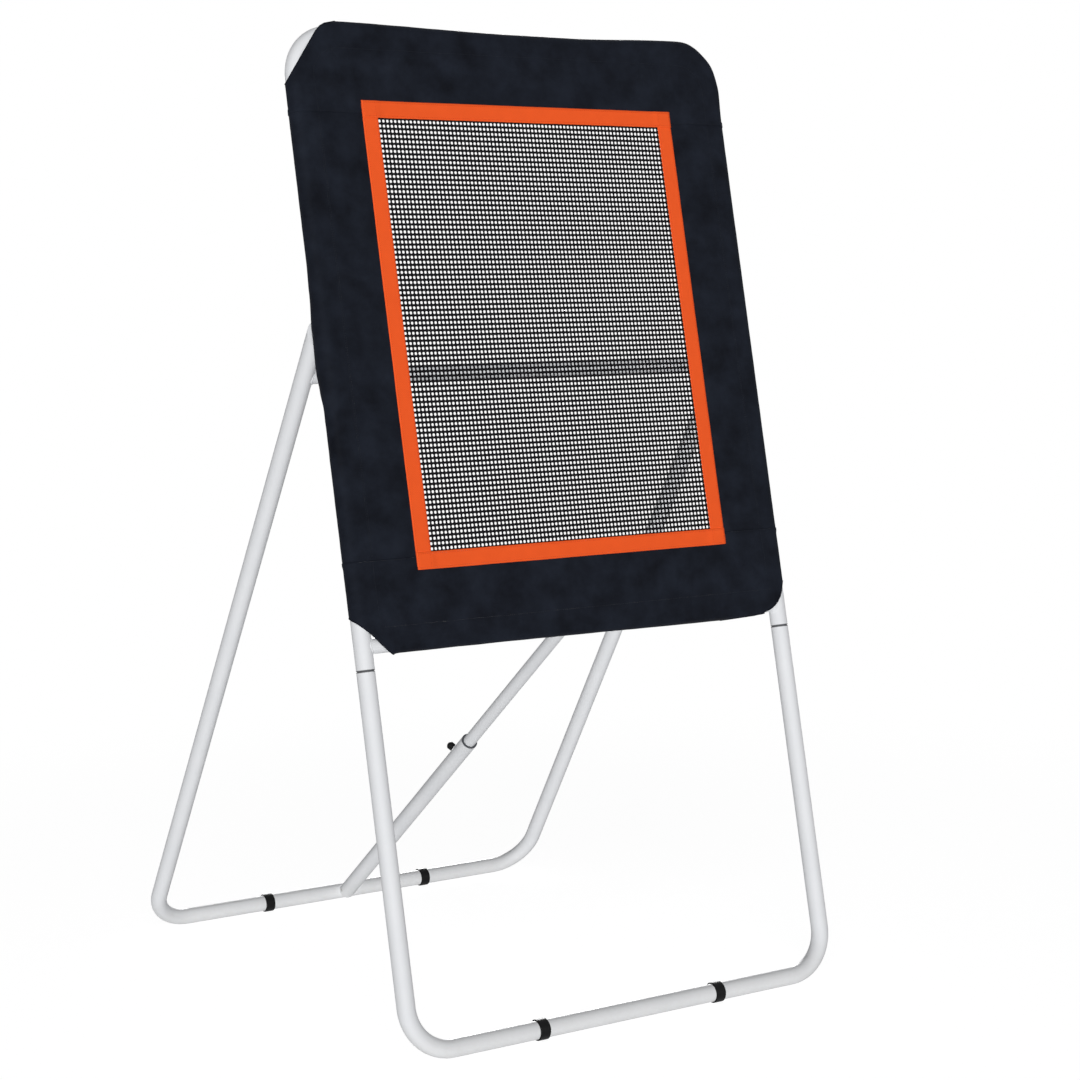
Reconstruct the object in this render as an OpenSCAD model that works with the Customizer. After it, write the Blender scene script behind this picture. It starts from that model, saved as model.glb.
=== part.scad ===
// Folding ball rebounder: a leaning tube screen with a fabric-edged net, a
// rear leg frame hinged behind it and a telescoping strut with a clamp knob.
// Millimetres. +X is to the right, +Y is behind the screen, +Z is up.
// The origin is on the floor, under the middle of the four feet.

/* [Screen frame] */
// Distance between the axes of the two front legs
frame_w = 1050; // [800:10:1300]
// Height of the top rail's axis above the front base bar's axis, along the screen
rail_up = 2080; // [1900:10:2400]
// How far the screen leans back from upright, in degrees
lean = 11.4; // [6:0.1:16]
// Distance on the floor between the front and the rear base bars' axes
foot_spread = 1280; // [1150:10:1450]
// Outside diameter of the main tubes
tube_d = 38; // [34:0.5:42]
// Wall of every steel tube
tube_wall = 1.5; // [1.2:0.1:2.5]
// Radius of the tube bends, on the tube's axis
bend_r = 95; // [80:1:130]
// Height of the joint in each side of the screen, along the screen
side_joint_up = 766; // [650:1:775]
// Distance from the middle of a rail or base bar to each of its joints
rail_joint_x = 223; // [150:1:300]
// Width of the groove left at each joint
joint_gap = 2; // [0.5:0.1:3]
// Length of the necked tube end that plugs into the next tube
spigot_len = 60; // [40:1:90]
// Outside diameter of the lower crossbar and of the rear brace
crossbar_d = 32; // [25:0.5:34]
// Height of the lower crossbar's axis along the screen
crossbar_up = 816; // [800:1:850]

/* [Rear frame] */
// Height of the fold pivots along the screen
pivot_up = 1430; // [1300:1:1550]
// Distance of the fold pivots behind the plane of the screen's tubes
pivot_back = 52; // [48:0.5:65]
// How far each rear leg stands outside the side tube in front of it
leg_outset = 9; // [4:0.5:12]
// Distance of the rear brace below the fold pivots, along the rear legs
brace_drop = 64; // [55:1:120]
// Distance of the rear legs' slanted ends behind the plane of the screen's tubes
leg_stop = 23; // [22:0.5:28]

/* [Feet] */
// Width of each foot ring along the base bar
foot_w = 24; // [16:1:36]
// Wall of a foot ring outside the tube
foot_wall = 3; // [2.5:0.1:5]
// Thickness left under the tube where the ring is cut flat to stand
sole_h = 2; // [1:0.1:2.2]

/* [Strut] */
// How far the strut sits to the left of the middle
strut_left = 15; // [0:1:40]
// Distance of the strut's lower pin from the rear base bar's axis
lug_reach = 41; // [40:0.5:50]
// Angle of that distance above level, in degrees
lug_angle = 15.5; // [5:0.5:30]
// Distance of the strut's upper pin behind the plane of the screen's tubes
cradle_back = 50; // [44:0.5:60]
// Length of the strut's outer tube above its lower pin
outer_len = 783; // [600:1:850]
// Outside diameter of the strut's inner tube
inner_d = 29; // [25:0.5:30]
// Length of the inner tube inside the outer tube when the frame stands open
overlap = 120; // [90:1:160]
// Length of the guide bush inside the outer tube
bush_len = 73; // [66:1:80]

/* [Clamp knob] */
// Distance of the clamp knob's axis below the outer tube's upper end
clamp_down = 54; // [40:1:60]
// Angle of the knob round the strut, from its upper side towards the left
clamp_turn = 40; // [0:1:90]
// Diameter of the knob
knob_d = 18.4; // [17.6:0.2:26]
// Height of the knob above the outer tube
knob_h = 16.5; // [15:0.5:26]

/* [Cover and net] */
// Thickness of the cover's fabric with its coating and folds
cloth_t = 1.5; // [0.8:0.1:2]
// Distance of the seam that closes each sleeve from its tube's axis
sleeve_w = 34; // [28:1:60]
// Outside width of the coloured target border
target_w = 780; // [600:5:860]
// Height of the border's lower edge above the lower crossbar's axis
target_rise = 143; // [110:1:200]
// Distance of the border's upper edge below the top rail's axis
target_drop = 143; // [125:1:260]
// Width of the border's webbing
webbing_w = 36; // [25:1:50]
// Thickness of the border's webbing
webbing_t = 1.5; // [1:0.1:2.5]
// Width of the two left corner cuts in the cover
corner_cut = 78; // [60:1:110]
// How much steeper than 45 degrees the upper left cut is, as a ratio
corner_slope = 1.2; // [1:0.05:1.5]
// Radius of the cover's lower right corner
corner_r = 75; // [40:1:80]
// Number of net meshes across
mesh_across = 15; // [8:1:15]
// Number of net meshes up
mesh_up = 19; // [8:1:20]
// Width of a net cord
cord_w = 5; // [2:0.5:8]
// Thickness of the net
cord_t = 2; // [1:0.1:3]

/* [Fasteners] */
// Diameter of the pivot bolts' shoulders and of the strut's pins
pin_d = 8; // [6:0.5:10]
// Thickness of the cradle's plates
plate_t = 3; // [2:0.1:4]
// Thickness of the lugs that carry the fold pivots
pivot_lug_t = 5; // [3:0.5:6]
// Thickness of the lug that carries the strut's lower pin
lug_t = 6; // [4:0.5:8]
// Diameter of the joint screws
screw_d = 4.2; // [3.5:0.1:5]
// Radial clearance of every running fit
fit = 0.05; // [0.03:0.01:0.1]
// Gap between pieces that lie beside each other
gap = 0.3; // [0.2:0.05:0.5]

/* [Hidden] */
$fn = 64;

// Long enough to cut right through any tube or sheet
through = 3 * tube_d;
// How far a cut runs past the faces that it opens
over = 1;
tube_r = tube_d / 2;
bore_r = tube_r - tube_wall;
spigot_r = bore_r - fit;
crossbar_r = crossbar_d / 2;
pin_r = pin_d / 2;
half_w = frame_w / 2;
leg_x = half_w + leg_outset;
axle_z = tube_r + sole_h;

// Places of the pivots, [y, z]
function screen_point(back, up) = [
    -foot_spread / 2 + back * cos(lean) + up * sin(lean),
    axle_z - back * sin(lean) + up * cos(lean)];
pivot_yz = screen_point(pivot_back, pivot_up);
rear_yz = [foot_spread / 2, axle_z];
leg_run = rear_yz - pivot_yz;
leg_len = norm(leg_run);
leg_tilt = atan2(leg_run[0], -leg_run[1]);
foot_pin_yz = rear_yz + lug_reach * [-cos(lug_angle), sin(lug_angle)];
cradle_yz = screen_point(cradle_back, crossbar_up);
strut_run = foot_pin_yz - cradle_yz;
strut_len = norm(strut_run);
strut_tilt = atan2(strut_run[0], -strut_run[1]);

inner_r = inner_d / 2;
tail_z = outer_len - overlap;
pin_end = 14;
strut_x = -strut_left;

steel_white = "#E2E3E5";
plastic_black = "#17181A";
zinc = "#B9BDC1";
cloth_black = "#1B1E26";
webbing_orange = "#E8562A";
nylon_pale = "#D8D6CE";

// ---------------------------------------------------------------- places

// Screen frame: X across, Y behind the screen, Z up along it
module on_screen() {
    translate([0, -foot_spread / 2, axle_z]) rotate([-lean, 0, 0]) children();
}

// Rear frame: Z up along the rear legs from the rear base bar's axis
module on_rear() {
    translate([0, foot_spread / 2, axle_z]) rotate([leg_tilt, 0, 0]) children();
}

// Strut: Z along the strut from its lower pin
module on_strut() {
    translate([strut_x, foot_pin_yz[0], foot_pin_yz[1]])
        rotate([strut_tilt, 0, 0]) children();
}

// Clamp: Z out of the strut along the knob's axis
module on_clamp() {
    on_strut()
        translate([0, 0, outer_len - clamp_down])
            rotate([0, 0, clamp_turn]) rotate([-90, 0, 0]) children();
}

module mirrored(side) {
    mirror([side < 0 ? 1 : 0, 0, 0]) children();
}

module along_x() {
    rotate([0, 90, 0]) children();
}

// A cylinder on X, centred on the origin
module x_rod(r, len) {
    along_x() cylinder(r = r, h = len, center = true);
}

// ---------------------------------------------------------------- tubes

// The body of a bent tube: a corner at the origin, one arm up, one arm to -X
module bent_rod(r, up, across) {
    translate([0, 0, bend_r]) cylinder(r = r, h = up - bend_r);
    translate([-bend_r, 0, 0]) rotate([0, -90, 0]) cylinder(r = r, h = across - bend_r);
    translate([-bend_r, 0, bend_r]) rotate([90, 0, 0]) rotate([0, 0, -90])
        rotate_extrude(angle = 90) translate([bend_r, 0]) circle(r = r);
}

// A bent tube with both ends open
module bent_tube(up, across) {
    difference() {
        bent_rod(tube_r, up, across);
        bent_rod(bore_r, up, across);
    }
}

// A necked tube end with its shoulder, standing on Z
module spigot() {
    difference() {
        union() {
            translate([0, 0, -tube_wall]) cylinder(r = tube_r, h = tube_wall);
            cylinder(r = spigot_r, h = spigot_len);
        }
        translate([0, 0, -2 * tube_wall])
            cylinder(r = spigot_r - tube_wall, h = spigot_len + 3 * tube_wall);
    }
}

module straight_tube(r, len) {
    difference() {
        x_rod(r, len);
        x_rod(r - tube_wall, len + 2 * over);
    }
}

// The middle bar of a base or of the top rail, with a necked end each side
module middle_bar() {
    joint_x = rail_joint_x - joint_gap;
    difference() {
        union() {
            straight_tube(tube_r, 2 * (joint_x - tube_wall));
            for (side = [-1, 1]) mirrored(side)
                translate([joint_x, 0, 0]) along_x() spigot();
        }
        for (side = [-1, 1]) mirrored(side) rail_screw_place() screw_hole();
    }
}

// A screw's axis is Z here, with the tube's surface at the origin
module screw_hole() {
    translate([0, 0, -tube_r]) cylinder(d = screw_d, h = through);
}

screw_reach = 8;
screw_head_r = 4.2;
screw_head_h = 2.4;
screw_inset = foot_w / 2 + 2 * screw_head_r;

module joint_screw() {
    translate([0, 0, -screw_reach]) cylinder(d = screw_d, h = screw_reach);
    difference() {
        cylinder(r = screw_head_r, h = screw_head_h);
        translate([0, 0, screw_head_h / 2]) cylinder(d = screw_d / 2, h = screw_head_h, $fn = 6);
    }
}

// On the back of a base bar, beside its right foot ring
module rail_screw_place() {
    translate([rail_joint_x + screw_inset, tube_r, 0]) rotate([-90, 0, 0]) children();
}

// On the back of a side tube, just above its joint
module side_screw_place() {
    translate([half_w, tube_r, side_joint_up + 2 * screw_head_r]) rotate([-90, 0, 0]) children();
}

// The top rail's screws point down and forward, into the room inside the sleeve
rail_screw_turn = 120;

module under_rail() {
    translate([0, 0, rail_up]) rotate([-rail_screw_turn, 0, 0]) children();
}

// ---------------------------------------------------------------- screen frame

module side_tube(side) {
    color(steel_white) on_screen() mirrored(side) difference() {
        translate([half_w, 0, rail_up]) mirror([0, 0, 1])
            bent_tube(rail_up - side_joint_up - joint_gap, half_w - rail_joint_x);
        side_screw_place() screw_hole();
        under_rail() rail_screw_place() screw_hole();
    }
}

module side_tube_left() { side_tube(-1); }
module side_tube_right() { side_tube(1); }

module top_rail() {
    color(steel_white) on_screen() under_rail() middle_bar();
}

module lower_crossbar() {
    color(steel_white) on_screen() translate([0, 0, crossbar_up]) difference() {
        straight_tube(crossbar_r, frame_w);
        for (side = [-1, 1]) translate([side * half_w, 0, 0])
            cylinder(r = tube_r, h = through, center = true);
    }
}

module front_leg(side) {
    color(steel_white) on_screen() mirrored(side) difference() {
        union() {
            translate([half_w, 0, 0]) bent_tube(side_joint_up - tube_wall, half_w - rail_joint_x);
            translate([half_w, 0, side_joint_up]) spigot();
        }
        side_screw_place() screw_hole();
        rail_screw_place() screw_hole();
    }
}

module front_leg_left() { front_leg(-1); }
module front_leg_right() { front_leg(1); }

module front_base_bar() {
    color(steel_white) on_screen() middle_bar();
}

// A foot ring lies on X; the frame stands on its flat sole
foot_r = tube_r + foot_wall;
foot_chamfer = 1;

module foot_ring(side, y) {
    inside = tube_r + fit;
    edge = foot_w / 2 - foot_chamfer;
    color(plastic_black) translate([side * rail_joint_x, y, axle_z]) difference() {
        along_x() rotate_extrude() polygon([
            [inside, -foot_w / 2], [foot_r - foot_chamfer, -foot_w / 2], [foot_r, -edge],
            [foot_r, edge], [foot_r - foot_chamfer, foot_w / 2], [inside, foot_w / 2]]);
        translate([0, 0, -axle_z - foot_r]) cube(2 * foot_r, center = true);
    }
}

module front_foot_left() { foot_ring(-1, -foot_spread / 2); }
module front_foot_right() { foot_ring(1, -foot_spread / 2); }
module rear_foot_left() { foot_ring(-1, foot_spread / 2); }
module rear_foot_right() { foot_ring(1, foot_spread / 2); }

// The pivot bracket is a plate lug, welded to the back of the side tube beside the leg
bracket_rim = 1;
bracket_r = tube_r + bracket_rim;
bush_wall = 2.5;
bush_r = pin_r + bush_wall;
lug_in = leg_x - tube_r - 2 * gap - pivot_lug_t;

module at_pivot(side, x) {
    on_screen() mirrored(side) translate([x, pivot_back, pivot_up]) children();
}

module pivot_bracket(side) {
    color(steel_white) difference() {
        at_pivot(side, lug_in) {
            along_x() cylinder(r = bracket_r, h = pivot_lug_t);
            translate([0, -pivot_back, -bracket_r]) cube([pivot_lug_t, pivot_back, 2 * bracket_r]);
        }
        at_pivot(side, lug_in) x_rod(bush_r, through);
        on_screen() mirrored(side) translate([half_w, 0, pivot_up])
            cylinder(r = tube_r, h = through, center = true);
    }
}

module pivot_bracket_left() { pivot_bracket(-1); }
module pivot_bracket_right() { pivot_bracket(1); }

// Nylon bushes line the lugs' holes; the pivot bolts turn in them
module pivot_bushes() {
    color(nylon_pale) for (side = [-1, 1]) at_pivot(side, lug_in) along_x() difference() {
        cylinder(r = bush_r, h = pivot_lug_t);
        translate([0, 0, -over]) cylinder(r = pin_r + fit, h = pivot_lug_t + 2 * over);
    }
}

// The cradle's two plates hold the strut's cross pin in notches open at the top
cradle_rim = 1;
cradle_r = crossbar_r - cradle_rim;
// Room beside the strut between the plates, and beside the plates on the pin
side_play = 0.8;
cradle_in = inner_r + side_play;
cradle_rise = 14;
notch_r = pin_r + gap;
// The notch's walls lean away from each other by these angles
notch_front = 16;
notch_rear = 30;

// Half the notch's width at a height above the pin
function notch_wall(angle, up) = (notch_r - fit + up * sin(angle)) / cos(angle);

module cradle_plate() {
    low = -notch_r * sin(notch_front);
    top = cradle_rise + over;
    rotate([90, 0, 90]) linear_extrude(height = plate_t, center = true) difference() {
        union() {
            circle(r = cradle_r);
            translate([-cradle_r, 0]) square([2 * cradle_r, cradle_rise]);
            translate([-cradle_back, -cradle_r]) square([cradle_back, 2 * cradle_r]);
        }
        circle(r = notch_r);
        polygon([
            [-notch_wall(notch_front, low), low], [0, low],
            [notch_wall(notch_rear, low), low], [notch_wall(notch_rear, top), top],
            [-notch_wall(notch_front, top), top]]);
        translate([-cradle_back, 0]) circle(r = crossbar_r);
    }
}

module strut_cradle() {
    color(steel_white) on_screen() for (side = [-1, 1])
        translate([strut_x + side * (cradle_in + plate_t / 2), cradle_back, crossbar_up])
            cradle_plate();
}

module screen_screws() {
    color(zinc) on_screen() for (side = [-1, 1]) mirrored(side) {
        side_screw_place() joint_screw();
        rail_screw_place() joint_screw();
        under_rail() rail_screw_place() joint_screw();
    }
}

// ---------------------------------------------------------------- cover

// The back sheet of a sleeve starts inside the cloth round the tube, and is a
// little thinner, so that the two join without a tangent face
sleeve_lap = 1;
sleeve_step = 0.1;

// Section of a sleeve round a tube: the tube's axis is the origin, +X points
// to the middle of the screen, +Y points behind it. The cloth goes round the
// tube and back to the front sheet, where a seam closes the sleeve.
module sleeve_section(front) {
    back_angle = 90 - 2 * atan2(sleeve_r, sleeve_w);
    difference() {
        circle(r = sleeve_r + cloth_t);
        circle(r = sleeve_r);
        polygon([[0, 0], [0, -through], [through, -through],
                 through * [cos(back_angle), sin(back_angle)]]);
    }
    translate([0, -sleeve_r - cloth_t]) square([front, cloth_t]);
    rotate(back_angle) translate([sleeve_r + sleeve_step, -sleeve_w - cloth_t])
        square([cloth_t - 2 * sleeve_step, sleeve_w + cloth_t + sleeve_lap]);
}

// Section of the cloth where it only laps a tube
module lap_section(front) {
    difference() {
        circle(r = sleeve_r + cloth_t);
        circle(r = sleeve_r);
        translate([0, -through / 2]) square(through);
    }
    translate([0, -sleeve_r - cloth_t]) square([front, cloth_t]);
}

target_low = crossbar_up + target_rise;
target_high = rail_up - target_drop;
// The crossbar's sleeve is as wide as the others, so that its front is flush with theirs
sleeve_r = tube_r + gap;
seam = gap / 2;
window_x = (target_w - webbing_w) / 2;
window_low = target_low + webbing_w / 2;
window_high = target_high - webbing_w / 2;
cover_edge = half_w + sleeve_r + cloth_t;
cover_top_edge = rail_up + sleeve_r + cloth_t;
cover_bottom_edge = crossbar_up - sleeve_r - cloth_t;

// A side sleeve between two heights, on the right, from its section
module side_sleeve(low, high) {
    translate([half_w, 0, low]) mirror([1, 0, 0])
        linear_extrude(height = high - low) children();
}

// A prism through the cover with an outline in the plane of the screen
module through_screen() {
    rotate([90, 0, 0]) linear_extrude(height = through, center = true) children();
}

// The pivot bracket comes through the back of the side sleeve
slit_clear = 3;

module bracket_slot() {
    translate([lug_in - slit_clear, 0, pivot_up - bracket_r - slit_clear])
        cube([pivot_lug_t + 2 * slit_clear, pivot_back, 2 * (bracket_r + slit_clear)]);
}

module cover_side(side) {
    color(cloth_black) on_screen() mirrored(side) difference() {
        side_sleeve(window_low + seam, window_high - seam)
            sleeve_section(half_w - window_x);
        bracket_slot();
    }
}

module cover_left() { cover_side(-1); }
module cover_right() { cover_side(1); }

// The sleeve round a bend at the upper right corner
module corner_sleeve() {
    translate([half_w - bend_r, 0, rail_up - bend_r]) rotate([90, 0, 0])
        rotate_extrude(angle = 90) translate([bend_r, 0]) rotate(180)
            sleeve_section(bend_r - over);
}

// A sheet in the front of the cover, from one height to another
module front_sheet(low, high, half) {
    translate([-half, -sleeve_r - cloth_t, low]) cube([2 * half, cloth_t, high - low]);
}

module cover_top() {
    rail_half = half_w - bend_r;
    cut_low = rail_up - corner_slope * corner_cut;
    color(cloth_black) on_screen() difference() {
        union() {
            for (side = [-1, 1]) mirrored(side) {
                corner_sleeve();
                side_sleeve(window_high + seam, rail_up - bend_r)
                    sleeve_section(bend_r);
            }
            translate([-rail_half, 0, rail_up]) along_x()
                linear_extrude(height = 2 * rail_half)
                    sleeve_section(rail_up - window_high - seam);
        }
        through_screen() polygon([
            [-cover_edge - over, cut_low], [-cover_edge, cut_low],
            [-cover_edge + corner_cut, cover_top_edge],
            [-cover_edge + corner_cut, cover_top_edge + over],
            [-cover_edge - over, cover_top_edge + over]]);
    }
}

module cover_bottom() {
    inside = half_w - sleeve_w - cloth_t - slit_clear;
    closed = crossbar_up + sleeve_w;
    color(cloth_black) on_screen() difference() {
        union() {
            front_sheet(crossbar_up, window_low - seam, half_w);
            for (side = [-1, 1]) mirrored(side) {
                side_sleeve(cover_bottom_edge, closed) lap_section(tube_r);
                side_sleeve(closed, window_low - seam) sleeve_section(sleeve_w);
            }
            translate([inside, 0, crossbar_up]) rotate([0, -90, 0])
                linear_extrude(height = 2 * inside) sleeve_section(tube_r);
        }
        through_screen() polygon([
            [-cover_edge - over, cover_bottom_edge - over],
            [-cover_edge + corner_cut, cover_bottom_edge - over],
            [-cover_edge + corner_cut, cover_bottom_edge],
            [-cover_edge, cover_bottom_edge + corner_cut],
            [-cover_edge - over, cover_bottom_edge + corner_cut]]);
        through_screen() difference() {
            translate([cover_edge - corner_r, cover_bottom_edge - corner_r])
                square(2 * corner_r);
            translate([cover_edge - corner_r, cover_bottom_edge + corner_r])
                circle(r = corner_r);
        }
        translate([strut_x - 2 * cradle_in, 0, 0])
            cube([4 * cradle_in, cradle_back, 2 * crossbar_up]);
    }
}

// ---------------------------------------------------------------- border and net

border_y = -sleeve_r - cloth_t - webbing_t;

module border_strip(x, z, w, h) {
    color(webbing_orange) on_screen() translate([x, border_y, z]) cube([w, webbing_t, h]);
}

module border_top() {
    border_strip(-target_w / 2, target_high - webbing_w, target_w, webbing_w);
}

module border_bottom() {
    border_strip(-target_w / 2, target_low, target_w, webbing_w);
}

side_strip_h = target_high - target_low - 2 * webbing_w;

module border_left() {
    border_strip(-target_w / 2, target_low + webbing_w, webbing_w, side_strip_h);
}

module border_right() {
    border_strip(target_w / 2 - webbing_w, target_low + webbing_w, webbing_w, side_strip_h);
}

// The net is sewn behind the cover's edge, under the webbing
net_w = target_w - 2 * cord_w;
net_low = target_low + cord_w;
net_h = target_high - target_low - 2 * cord_w;

module net() {
    pitch_x = (target_w - 2 * webbing_w) / mesh_across;
    pitch_z = side_strip_h / mesh_up;
    color(cloth_black) on_screen() translate([0, cord_t - sleeve_r, net_low])
        rotate([90, 0, 0]) linear_extrude(height = cord_t) difference() {
            translate([-net_w / 2, 0]) square([net_w, net_h]);
            for (i = [0 : mesh_across - 1], j = [0 : mesh_up - 1])
                translate([(i + 0.5) * pitch_x - (target_w - 2 * webbing_w) / 2,
                           (j + 0.5) * pitch_z + webbing_w - cord_w])
                    square([pitch_x - cord_w, pitch_z - cord_w], center = true);
        }
}

// ---------------------------------------------------------------- rear frame

// A leg's upper end is cut parallel to the screen and closed by a welded plate,
// which lies close behind the side sleeve and stops the frame from opening further
cap_plate = 2.5;
cap_skirt = 8;

// A slab parallel to the screen, between two distances behind its tubes' plane
module screen_slab(near, far) {
    translate([0, 0, leg_len]) rotate([-leg_tilt - lean, 0, 0])
        translate([0, near - pivot_back, -through])
            cube([2 * leg_x, far - near, 2 * through]);
}

module rear_leg(side) {
    leg_end = leg_stop + cap_plate;
    color(steel_white) on_rear() mirrored(side) difference() {
        translate([leg_x, 0, 0]) bent_tube(leg_len + 2 * tube_d, leg_x - rail_joint_x);
        screen_slab(leg_end - through, leg_end);
        translate([leg_x - tube_r, 0, leg_len]) x_rod(pin_r, tube_r);
        rail_screw_place() screw_hole();
    }
}

module rear_leg_left() { rear_leg(-1); }
module rear_leg_right() { rear_leg(1); }

module rear_base_bar() {
    color(steel_white) on_rear() middle_bar();
}

module rear_brace() {
    color(steel_white) on_rear() translate([0, 0, leg_len - brace_drop]) difference() {
        straight_tube(crossbar_r, 2 * leg_x);
        for (side = [-1, 1]) translate([side * leg_x, 0, 0])
            cylinder(r = tube_r, h = through, center = true);
    }
}

// A round-edged plastic plug: its skirt is in the tube, its head closes the end
module round_plug(head_r, edge_r, skirt_r, skirt_h) {
    rotate_extrude() {
        translate([0, -skirt_h]) square([skirt_r, skirt_h]);
        square([head_r - edge_r, edge_r]);
        intersection() {
            translate([head_r - edge_r, 0]) circle(r = edge_r);
            translate([head_r - edge_r, 0]) square(edge_r);
        }
    }
}

module leg_rod(r) {
    translate([leg_x, 0, leg_len]) cylinder(r = r, h = 2 * tube_d);
}

module rear_leg_caps() {
    color(steel_white) on_rear() for (side = [-1, 1]) mirrored(side) {
        intersection() {
            leg_rod(tube_r);
            screen_slab(leg_stop, leg_stop + cap_plate);
        }
        intersection() {
            leg_rod(bore_r);
            screen_slab(leg_stop + cap_plate / 2, leg_stop + cap_plate + cap_skirt);
        }
    }
}

// The pivot bolts go through the lugs into the legs, with their heads inside
bolt_head_r = 7.5;
bolt_head_h = 3.5;
bolt_end_gap = 1;

// A shallow dome standing on Z
module dome(r, h) {
    ball_r = (pow(r, 2) + pow(h, 2)) / (2 * h);
    rotate_extrude() intersection() {
        translate([0, h - ball_r]) circle(r = ball_r);
        square([r, h]);
    }
}

module pivot_bolts() {
    seat_x = lug_in - gap;
    color(zinc) on_rear() for (side = [-1, 1]) mirrored(side)
        translate([seat_x, 0, leg_len]) {
            along_x() cylinder(r = pin_r, h = leg_x + bore_r - bolt_end_gap - seat_x);
            rotate([0, -90, 0]) dome(bolt_head_r, bolt_head_h);
        }
}

// A plate lug, welded to the front of the rear base bar, carries the strut
lug_rim = 7;
lug_r = pin_r + lug_rim;

module strut_lug() {
    color(steel_white) translate([strut_x, foot_pin_yz[0], foot_pin_yz[1]])
        rotate([-lug_angle, 0, 0]) difference() {
            union() {
                x_rod(lug_r, lug_t);
                translate([-lug_t / 2, 0, -lug_r]) cube([lug_t, lug_reach, 2 * lug_r]);
            }
            x_rod(pin_r + fit, 2 * lug_t);
            translate([0, lug_reach, 0]) x_rod(tube_r, 2 * lug_t);
        }
}

module rear_screws() {
    color(zinc) on_rear() for (side = [-1, 1]) mirrored(side)
        rail_screw_place() joint_screw();
}

// ---------------------------------------------------------------- strut

foot_end = 8;
foot_edge_r = 11;
plug_skirt = 30;
// Room beside the lug and round its end
lug_side = 0.5;
lug_clear = 1;

// The lug swings in a slot in the upper half of the strut's foot
module lug_slot() {
    slot_low = -foot_end - foot_edge_r - over;
    slot_front = -lug_r - lug_clear;
    translate([-lug_t / 2 - lug_side, slot_front, slot_low])
        cube([lug_t + 2 * lug_side, tube_r + over - slot_front,
              lug_r + 2 * lug_clear - slot_low]);
}

module strut_outer_tube() {
    color(steel_white) on_strut() difference() {
        translate([0, 0, -foot_end]) difference() {
            cylinder(r = tube_r, h = outer_len + foot_end);
            translate([0, 0, -over]) cylinder(r = bore_r, h = outer_len + foot_end + 2 * over);
        }
        lug_slot();
        x_rod(pin_r, through);
        translate([0, 0, outer_len - clamp_down]) rotate([0, 0, clamp_turn])
            rotate([-90, 0, 0]) cylinder(r = pin_r + fit, h = through);
    }
}

module strut_end_plug() {
    color(steel_white) on_strut() difference() {
        translate([0, 0, -foot_end]) mirror([0, 0, 1])
            round_plug(tube_r, foot_edge_r, bore_r, plug_skirt);
        lug_slot();
        x_rod(pin_r, through);
    }
}

module strut_foot_pin() {
    color(zinc) on_strut() x_rod(pin_r, 2 * tube_r - 2 * gap);
}

bush_flange = 2;

module guide_bush() {
    color(plastic_black) on_strut() difference() {
        union() {
            translate([0, 0, outer_len - bush_len]) cylinder(r = bore_r, h = bush_len);
            translate([0, 0, outer_len]) cylinder(r = tube_r, h = bush_flange);
        }
        translate([0, 0, outer_len - bush_len - over])
            cylinder(r = inner_r + fit, h = bush_len + bush_flange + 2 * over);
        translate([0, 0, outer_len - clamp_down]) rotate([0, 0, clamp_turn])
            rotate([-90, 0, 0]) cylinder(r = pin_r + fit, h = through);
    }
}

module strut_inner_tube() {
    color(steel_white) on_strut() difference() {
        translate([0, 0, tail_z]) cylinder(r = inner_r, h = strut_len + pin_end - tail_z);
        translate([0, 0, tail_z - over])
            cylinder(r = inner_r - tube_wall, h = strut_len + pin_end - tail_z + 2 * over);
        translate([0, 0, strut_len]) x_rod(pin_r, through);
    }
}

slider_h = 12;
slider_skirt = 25;

module tail_slider() {
    color(plastic_black) on_strut() translate([0, 0, tail_z]) {
        cylinder(r = inner_r - tube_wall, h = slider_skirt);
        translate([0, 0, -slider_h]) cylinder(r = bore_r - fit, h = slider_h);
    }
}

top_lip = 2;
top_skirt_gap = 1;

module strut_top_cap() {
    skirt = pin_end - pin_r - top_skirt_gap;
    color(plastic_black) on_strut() translate([0, 0, strut_len + pin_end])
        round_plug(inner_r, top_lip, inner_r - tube_wall, skirt);
}

module cradle_pin() {
    pin_half = cradle_in + plate_t + side_play;
    head_lip = 2.5;
    head_t = 2;
    color(zinc) on_strut() translate([0, 0, strut_len]) {
        x_rod(pin_r, 2 * pin_half);
        for (side = [-1, 1])
            translate([side * (pin_half + head_t / 2), 0, 0]) x_rod(pin_r + head_lip, head_t);
    }
}

// ---------------------------------------------------------------- clamp knob

boss_wall = 2.5;
boss_r = pin_r + boss_wall;
boss_h = 5;
boss_top = tube_r + boss_h;
shoe_h = 3;
knob_lift = 0.8;
knob_seat = tube_r + knob_lift;
stud_low = inner_r + gap + shoe_h;

module clamp_boss() {
    color(steel_white) difference() {
        on_clamp() cylinder(r = boss_r, h = boss_top);
        on_strut() cylinder(r = tube_r, h = outer_len);
        on_clamp() cylinder(r = pin_r + fit, h = through);
    }
}

module clamp_shoe() {
    color(nylon_pale) on_clamp() translate([0, 0, inner_r + gap]) cylinder(r = pin_r, h = shoe_h);
}

stud_rise = 6.5;
stud_top = boss_top + stud_rise;

module clamp_stud() {
    color(zinc) on_clamp() translate([0, 0, stud_low]) cylinder(r = pin_r, h = stud_top - stud_low);
}

grip_count = 10;
grip_r = 1.6;
knob_dome_h = 5;
// Room in the knob round the boss and above it
recess_side = 0.8;
recess_top = 1.5;

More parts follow.
